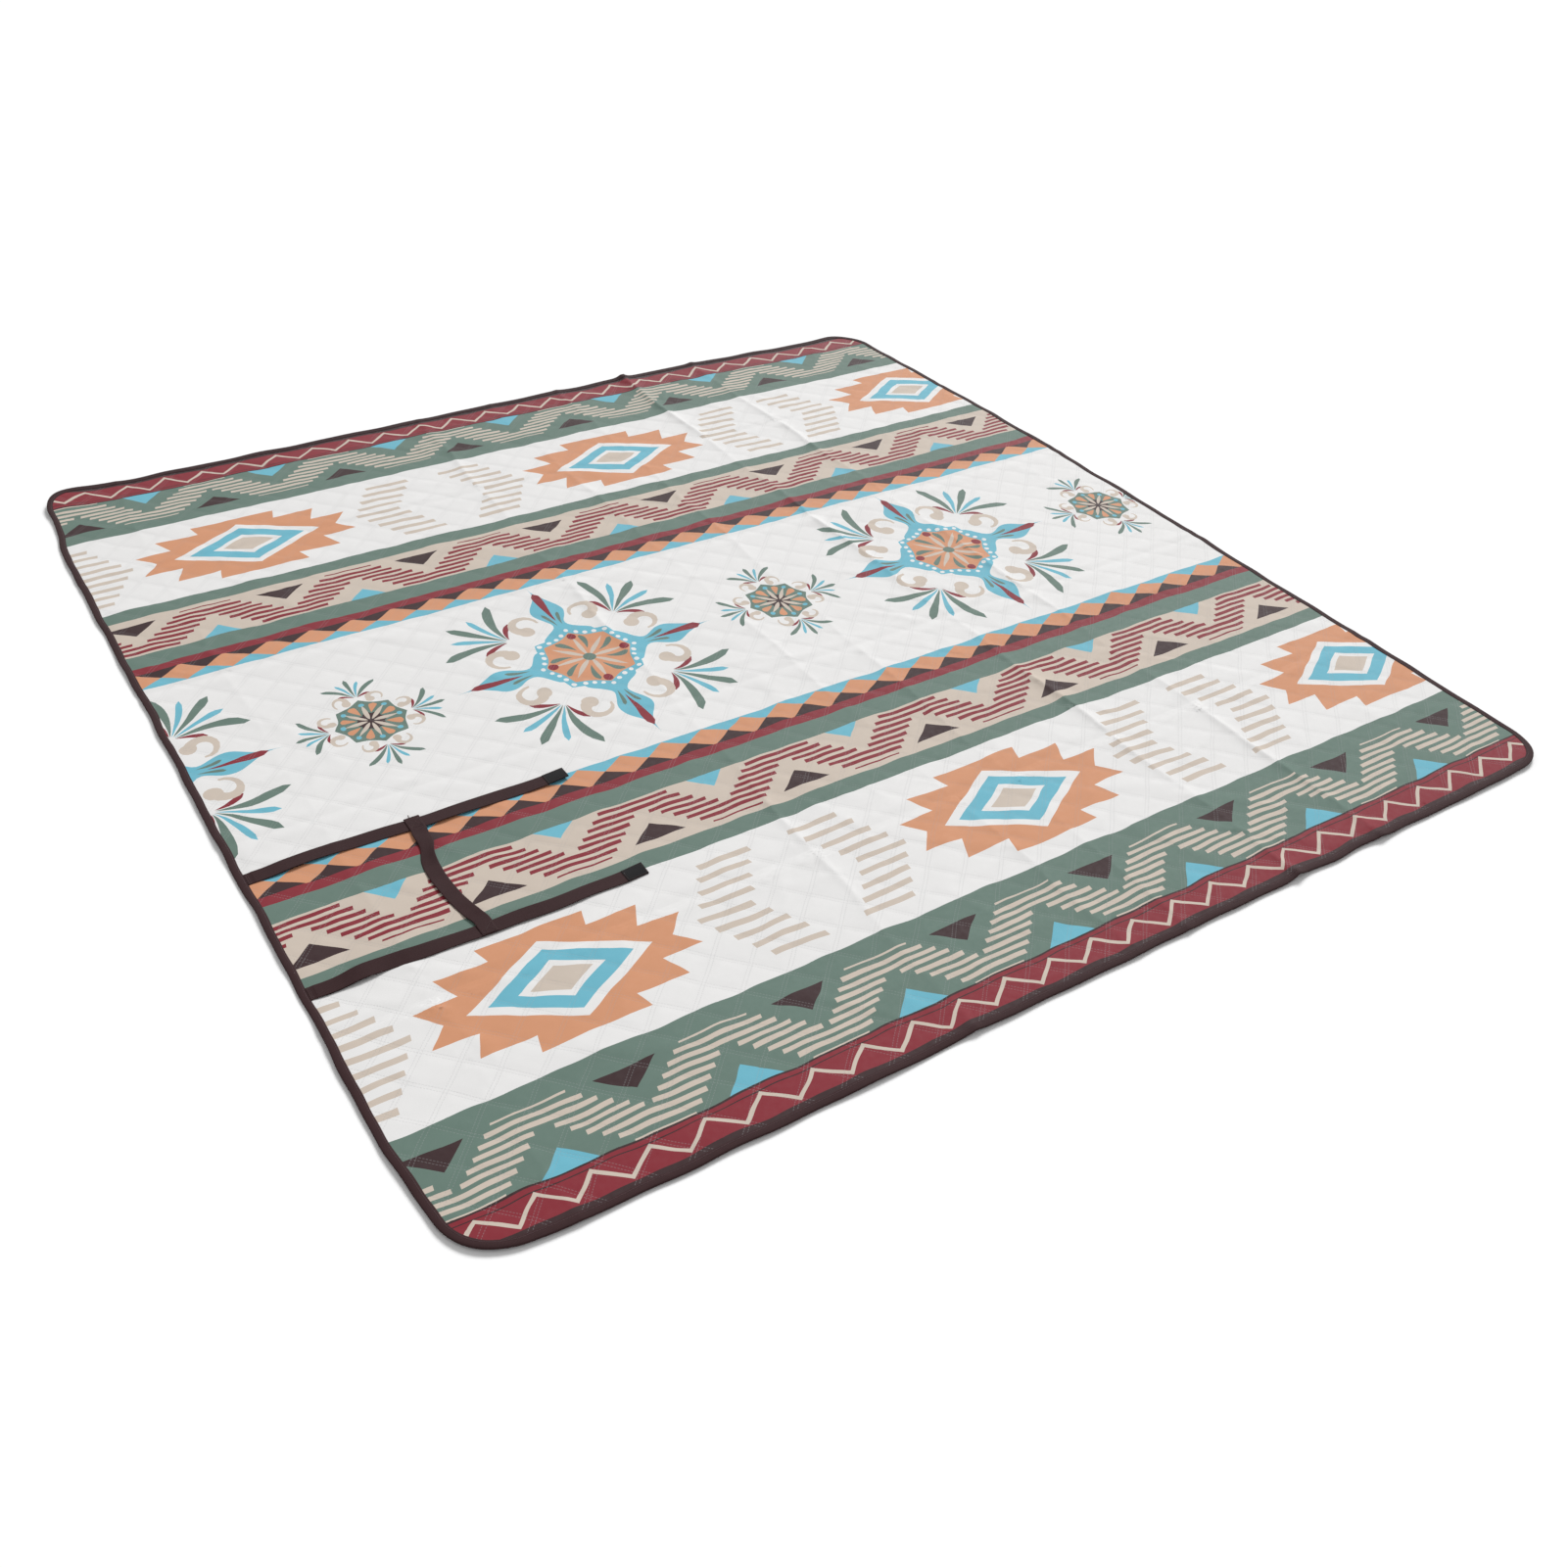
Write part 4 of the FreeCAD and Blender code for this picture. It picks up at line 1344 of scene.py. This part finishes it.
def strap_sway(which, x):
    """How far a strap lies off its straight line, sideways, and off the cloth, upward."""
    x = np.asarray(x, float)
    free = smooth(x, FLIP_X, FLIP_X + 0.05)
    sway, sway_rate, sway_phase, lift, lift_rate, lift_phase = STRAP_WAVES[which]
    side = sway * np.sin((x - FLIP_X) * sway_rate + sway_phase)
    rise = lift * (1 + np.sin((x - FLIP_X) * lift_rate + lift_phase))
    if which == "far":
        side = side - FAR_TAIL_TURN * smooth(x, TAIL_X, TIP_X)
        rise = rise + FAR_TIP_RISE * smooth(x, TIP_X - FAR_TIP_LENGTH, TIP_X)
    else:
        rise = rise + NEAR_HUMP * np.exp(-((x - FLIP_X - NEAR_HUMP_PLACE) / NEAR_HUMP_REACH) ** 2)
    return free * side, free * rise


def strap_surface(which, x, across, lift):
    """A point of a strap: x along it, across from its middle line, and lift from its mid-plane."""
    x, across = np.broadcast_arrays(np.asarray(x, float), np.asarray(across, float))
    side, rise = strap_sway(which, x)
    line = STRAP_Y[which]
    level = FOOT_LEVEL + (WEBBING_LEVEL - FOOT_LEVEL) * smooth(x, FLIP_X - 2.5 * MM, FLIP_X + 1 * MM)
    past_root = smooth(x, FLIP_X + 0.02, FLIP_X + 0.06)
    lean = STRAP_LEAN * np.sin((x - FLIP_X) * 31 + line * 40)
    if which == "near":
        before_handle = 1 - smooth(x, HANDLE_X - 0.09, HANDLE_X - 0.03)
        lean = lean + NEAR_LEAN * before_handle
        rise = rise + NEAR_RISE * past_root * before_handle
    tilt = lean * past_root * across / (WEBBING_WIDTH / 2)
    z = level + relief(x, np.full_like(x, line)) + rise + tilt + lift
    along_x, along_y = spread(x, np.full_like(x, line))
    return np.stack([along_x, along_y + side + across, z], axis=-1)


# Sections of the webbing and of a patch on it, as shares of half the width and of the thickness.
WEBBING_SECTION = (
    (-1.0, 0.0), (-0.96, -0.42), (-0.85, -0.5), (0.0, -0.5), (0.85, -0.5), (0.96, -0.42),
    (1.0, 0.0), (0.96, 0.42), (0.85, 0.5), (0.4, 0.46), (0.0, 0.5), (-0.4, 0.46),
    (-0.85, 0.5), (-0.96, 0.42),
)
PATCH_SECTION = (
    (-0.97, 0.0), (-0.97, 0.7), (-0.9, 1.0), (0.0, 1.0), (0.9, 1.0), (0.97, 0.7), (0.97, 0.0),
)
FLIP_LENGTH = 3 * MM
TAIL_LENGTH = 5 * MM


def strap_stations(start, end, crowded, reach):
    """Steps along a strap, close together where it bends at a joint."""
    even = np.linspace(start, end, max(2, round((end - start) / (5 * MM))))
    tight = crowded + np.linspace(0, reach, 13)
    return np.unique(np.round(np.concatenate([even, tight]), 6))


def build_webbing(name, which, start, end, crowded, reach, material):
    x = strap_stations(start, end, crowded, reach)
    rows, flat = [], []
    for share, level in WEBBING_SECTION:
        across = share * WEBBING_WIDTH / 2
        rows.append(strap_surface(which, x, across, level * WEBBING_THICK))
        flat.append(np.stack([x, np.full_like(x, across)], axis=1))
    return swept(name, np.array(rows), np.array(flat), material)


def build_strap(which, webbing, hook, loop, thread):
    piece = build_webbing(f"strap_{which}_webbing", which, FOOT_LOW.x, TAIL_X, FLIP_X, FLIP_LENGTH, webbing)
    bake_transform(piece)
    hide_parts(f"strap_{which}", f"strap_foot_{which}")

    tail = build_webbing(f"strap_tail_{which}_webbing", which, TAIL_X, TIP_X, TAIL_X, TAIL_LENGTH, webbing)
    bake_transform(tail)
    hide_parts(f"strap_tail_{which}")

    for node, body, lift_side, material, slot in (
        (f"hook_patch_{which}", f"{which}_tail", 1, hook, "hook_tape"),
        (f"loop_patch_{which}", "harness", -1, loop, "loop_tape"),
    ):
        patch = build_patch(f"{node}_tape", node, which, lift_side, material)
        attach(patch, body)
        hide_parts(node)

    stitches = Stitches()
    low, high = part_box(f"hook_patch_{which}")
    margin = 1.6 * MM
    side = 0.5 - margin / WEBBING_WIDTH
    lift = 0.5 * WEBBING_THICK + (high - low).z
    stitch_box(stitches, which, low.x + margin, high.x - margin, side, lift)
    carry_stitches(stitches, f"hook_stitches_{which}", f"{which}_tail", thread)

    stitches = Stitches()
    for share in (0.2, 0.45, 0.7):
        x = FOOT_LOW.x + share * (FLIP_X - FOOT_LOW.x)
        stitch_line(stitches, which, (x, -0.44), (x, 0.44), 0.5 * WEBBING_THICK)
    carry_stitches(stitches, f"strap_foot_stitches_{which}", "carry_panel", thread)


def carry_stitches(stitches, node, body, thread):
    """The gathered stitches become one piece that rides on a body."""
    piece = stitches.piece(f"{node}_thread", thread)
    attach(piece, body)
    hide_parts(node)


def build_patch(name, node, which, side, material):
    """A patch of touch tape sewn to a strap's top, side 1, or to its underside, side -1."""
    low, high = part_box(node)
    thick = (high - low).z
    x = np.linspace(low.x, high.x, 9)
    rows, flat = [], []
    for share, level in PATCH_SECTION:
        lift = side * (0.5 * WEBBING_THICK + level * thick)
        across = share * WEBBING_WIDTH / 2
        rows.append(strap_surface(which, x, across, lift))
        flat.append(np.stack([x, np.full_like(x, across)], axis=1))
    if side > 0:
        rows, flat = rows[::-1], flat[::-1]
    return swept(name, np.array(rows), np.array(flat), material)


def stitch_line(stitches, which, start, end, lift):
    """A sewn row on a strap. Each end is an x and a share of the strap's width."""
    length = math.hypot(end[0] - start[0], (end[1] - start[1]) * WEBBING_WIDTH)
    count = max(1, round(length / HARNESS_STITCH_PITCH))
    for number in range(count):
        places_on_row = []
        for share in ((number + 0.1) / count, (number + 0.9) / count):
            x = start[0] + (end[0] - start[0]) * share
            across = (start[1] + (end[1] - start[1]) * share) * WEBBING_WIDTH
            places_on_row.append(Vector(strap_surface(which, x, across, lift)))
        stitches.add(*places_on_row, width=0.6 * MM, tall=0.22 * MM)


def stitch_box(stitches, which, low_x, high_x, side, lift):
    """Four sewn rows round a box on a strap. side is a share of the strap's width."""
    corners = [(low_x, -side), (high_x, -side), (high_x, side), (low_x, side)]
    for start, end in zip(corners, corners[1:] + corners[:1]):
        stitch_line(stitches, which, start, end, lift)
    return corners


# The handle between its sewn ends: how far it bows out and back along X, and stands off the cloth.
HANDLE_BOW = 17 * MM
HANDLE_TURN_BACK = 6 * MM
HANDLE_GAP = 0.9 * MM
HANDLE_RIPPLE = 0.5 * MM
KINK_RISE = 0.9 * MM
KINK_PLACE = 0.74
KINK_REACH = 0.07
KINK_NARROWING = 0.16


def handle_point(y, share, level):
    """A point of the handle: y along it, and share and level across its section.

    It is sewn flat at its two ends, and lies slack between them with one kink.
    """
    low, high = STRAP_Y["near"], STRAP_Y["far"]
    t = np.clip((y - low) / (high - low), 0, 1)
    slack = 1 - smooth(np.abs(t - 0.5), 0.36, 0.455)
    ends = {}
    for which in ("near", "far"):
        x, _, z = strap_surface(which, HANDLE_X, 0.0, WEBBING_THICK).T
        ends[which] = (float(x), float(z))
    x = ends["near"][0] + (ends["far"][0] - ends["near"][0]) * t
    on_straps = ends["near"][1] + (ends["far"][1] - ends["near"][1]) * t
    on_cloth = cloth_height(np.full_like(t, HANDLE_X), y) + HANDLE_GAP + WEBBING_THICK / 2
    z = on_straps + (on_cloth - on_straps) * slack
    kink = np.exp(-((t - KINK_PLACE) / KINK_REACH) ** 2)
    turn_back = HANDLE_TURN_BACK * np.exp(-((t - 0.80) / 0.09) ** 2)
    x = x - slack * (HANDLE_BOW * np.sin(math.pi * t) ** 1.3 - turn_back)
    z = z + slack * (HANDLE_RIPPLE * (1 + np.sin(t * 17)) + KINK_RISE * kink)
    twist = slack * (0.07 * np.sin(t * 12) + 0.15 * kink)
    half = share * WEBBING_WIDTH / 2 * (1 - KINK_NARROWING * slack * kink)
    turn = 0.22 * slack * np.cos(math.pi * t)
    lift = level * WEBBING_THICK
    across = half * np.cos(twist) - lift * np.sin(twist)
    rise = half * np.sin(twist) + lift * np.cos(twist)
    clear_of_cloth = np.abs(half * np.sin(twist)) * 0.5
    return np.stack([x + across, y + turn * across * 0.5, z + clear_of_cloth + rise], axis=-1)


def build_handle_half(which, material, thread):
    """Half of the handle, from its sewn end to its middle."""
    middle = (STRAP_Y["near"] + STRAP_Y["far"]) / 2
    outward = 1 if which == "far" else -1
    end = STRAP_Y[which] + outward * WEBBING_WIDTH / 2
    y = np.linspace(min(middle, end), max(middle, end), 44)
    rows, flat = [], []
    for share, level in WEBBING_SECTION[::-1]:
        rows.append(handle_point(y, share, level))
        flat.append(np.stack([y, np.full_like(y, share * WEBBING_WIDTH / 2)], axis=1))
    piece = swept(f"carry_handle_{which}_half", np.array(rows), np.array(flat), material)
    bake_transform(piece)
    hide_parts("carry_handle", f"handle_end_{which}")

    stitches = Stitches()
    lift = 1.5 * WEBBING_THICK
    reach, side = 9.5 * MM, 0.38
    corners = stitch_box(stitches, which, HANDLE_X - reach, HANDLE_X + reach, side, lift)
    stitch_line(stitches, which, corners[0], corners[2], lift + 0.1 * MM)
    stitch_line(stitches, which, corners[1], corners[3], lift)
    if which == "far":
        loose_end(stitches, lift)
    carry_stitches(stitches, f"handle_stitches_{which}", "harness", thread)


def loose_end(stitches, lift):
    """A frayed end of thread that pokes out past the far strap."""
    start = Vector(strap_surface("far", HANDLE_X - 2 * MM, WEBBING_WIDTH / 2, lift - WEBBING_THICK))
    for number in range(3):
        step = Vector((1.2 * MM * (number - 1), 4.2 * MM, 0.8 * MM - 0.6 * MM * number))
        stitches.add(start, start + step, width=1.4 * MM, tall=0.6 * MM)
        start = start + step * 0.6


# The room -------------------------------------------------------------------------------------

# The camera, fitted to the blanket's outline as the photo shows it.
CAMERA_PLACE = (-1.3070, -1.9003, 1.4717)
CAMERA_AZIMUTH = -33.895
CAMERA_ELEVATION = 38.904
CAMERA_ROLL = 3.465
LENS_PER_WIDTH = 0.9509
CAMERA_SHIFT = 0.0472
SUN_TOWARD = (1.7, 1.5, 1.7)
SUN_STRENGTH = 3.1
SUN_SPREAD = 20
SKY_STRENGTH = 0.52


def build_camera():
    data = bpy.data.cameras.new("camera")
    data.sensor_width = 36
    data.lens = LENS_PER_WIDTH * data.sensor_width
    data.shift_x = CAMERA_SHIFT
    data.clip_start, data.clip_end = 0.01, 100
    camera = bpy.data.objects.new("camera", data)
    azimuth, elevation = math.radians(CAMERA_AZIMUTH), math.radians(CAMERA_ELEVATION)
    back = Vector((
        math.sin(azimuth) * math.cos(elevation),
        -math.cos(azimuth) * math.cos(elevation),
        math.sin(elevation),
    ))
    right = Vector((math.cos(azimuth), math.sin(azimuth), 0))
    up = back.cross(right)
    roll = math.radians(CAMERA_ROLL)
    right, up = right * math.cos(roll) + up * math.sin(roll), up * math.cos(roll) - right * math.sin(roll)
    turn = Matrix((right, up, back)).transposed().to_4x4()
    camera.matrix_world = Matrix.Translation(CAMERA_PLACE) @ turn
    bpy.context.scene.collection.objects.link(camera)
    bpy.context.scene.camera = camera


def build_floor():
    reach = 30
    mesh = bpy.data.meshes.new("floor")
    level = -0.2 * MM
    square = ((-1, -1), (1, -1), (1, 1), (-1, 1))
    mesh.from_pydata([(x * reach, y * reach, level) for x, y in square], [], [(0, 1, 2, 3)])
    material = bpy.data.materials.new("floor_pale")
    material.use_nodes = True
    shader = material.node_tree.nodes["Principled BSDF"]
    shader.inputs["Base Color"].default_value = (0.93, 0.93, 0.93, 1)
    shader.inputs["Roughness"].default_value = 0.9
    shader.inputs["Specular IOR Level"].default_value = 0.1
    mesh.materials.append(material)
    floor = bpy.data.objects.new("floor", mesh)
    bpy.context.scene.collection.objects.link(floor)


def build_sun():
    data = bpy.data.lights.new("window", "SUN")
    data.energy = SUN_STRENGTH
    data.angle = math.radians(SUN_SPREAD)
    light = bpy.data.objects.new("window", data)
    light.location = SUN_TOWARD
    light.rotation_euler = Vector(SUN_TOWARD).to_track_quat("Z", "Y").to_euler()
    bpy.context.scene.collection.objects.link(light)


def build_room():
    build_camera()
    build_floor()
    build_sun()
    world = bpy.data.worlds.new("studio")
    world.use_nodes = True
    background = world.node_tree.nodes["Background"]
    background.inputs[0].default_value = (1, 1, 1, 1)
    background.inputs[1].default_value = SKY_STRENGTH
    bpy.context.scene.world = world
    bpy.context.scene.view_settings.view_transform = "Standard"


# Everything together --------------------------------------------------------------------------


def build_blanket():
    paint_everything()
    inks = [printed_cloth(ink) for ink in INK_NAMES]
    wadding = polyester_wadding()
    backing = coated_backing()
    tape = ribbed_tape("binding_tape", linear("#371d1f"), 1.6 * MM)
    binding_thread = sewing_thread("binding_thread", linear("#4a3136"))
    for panel in PANELS:
        build_wadding(panel, wadding)
        build_top_sheet(panel, inks)
        build_backing(panel, backing)
        build_binding(panel, tape)
        build_binding_seam(panel, binding_thread)


def build_harness():
    webbing = ribbed_tape("harness_webbing", linear("#331719"), 1.5 * MM)
    hook = touch_tape("hook_tape_black", linear("#151517"), 1.7 * MM)
    loop = touch_tape("loop_tape_black", linear("#1b1b1e"), 1.2 * MM)
    thread = sewing_thread("harness_thread", linear("#432a2b"))
    for which in ("far", "near"):
        build_strap(which, webbing, hook, loop, thread)
        build_handle_half(which, webbing, thread)


build_room()
build_blanket()
build_harness()
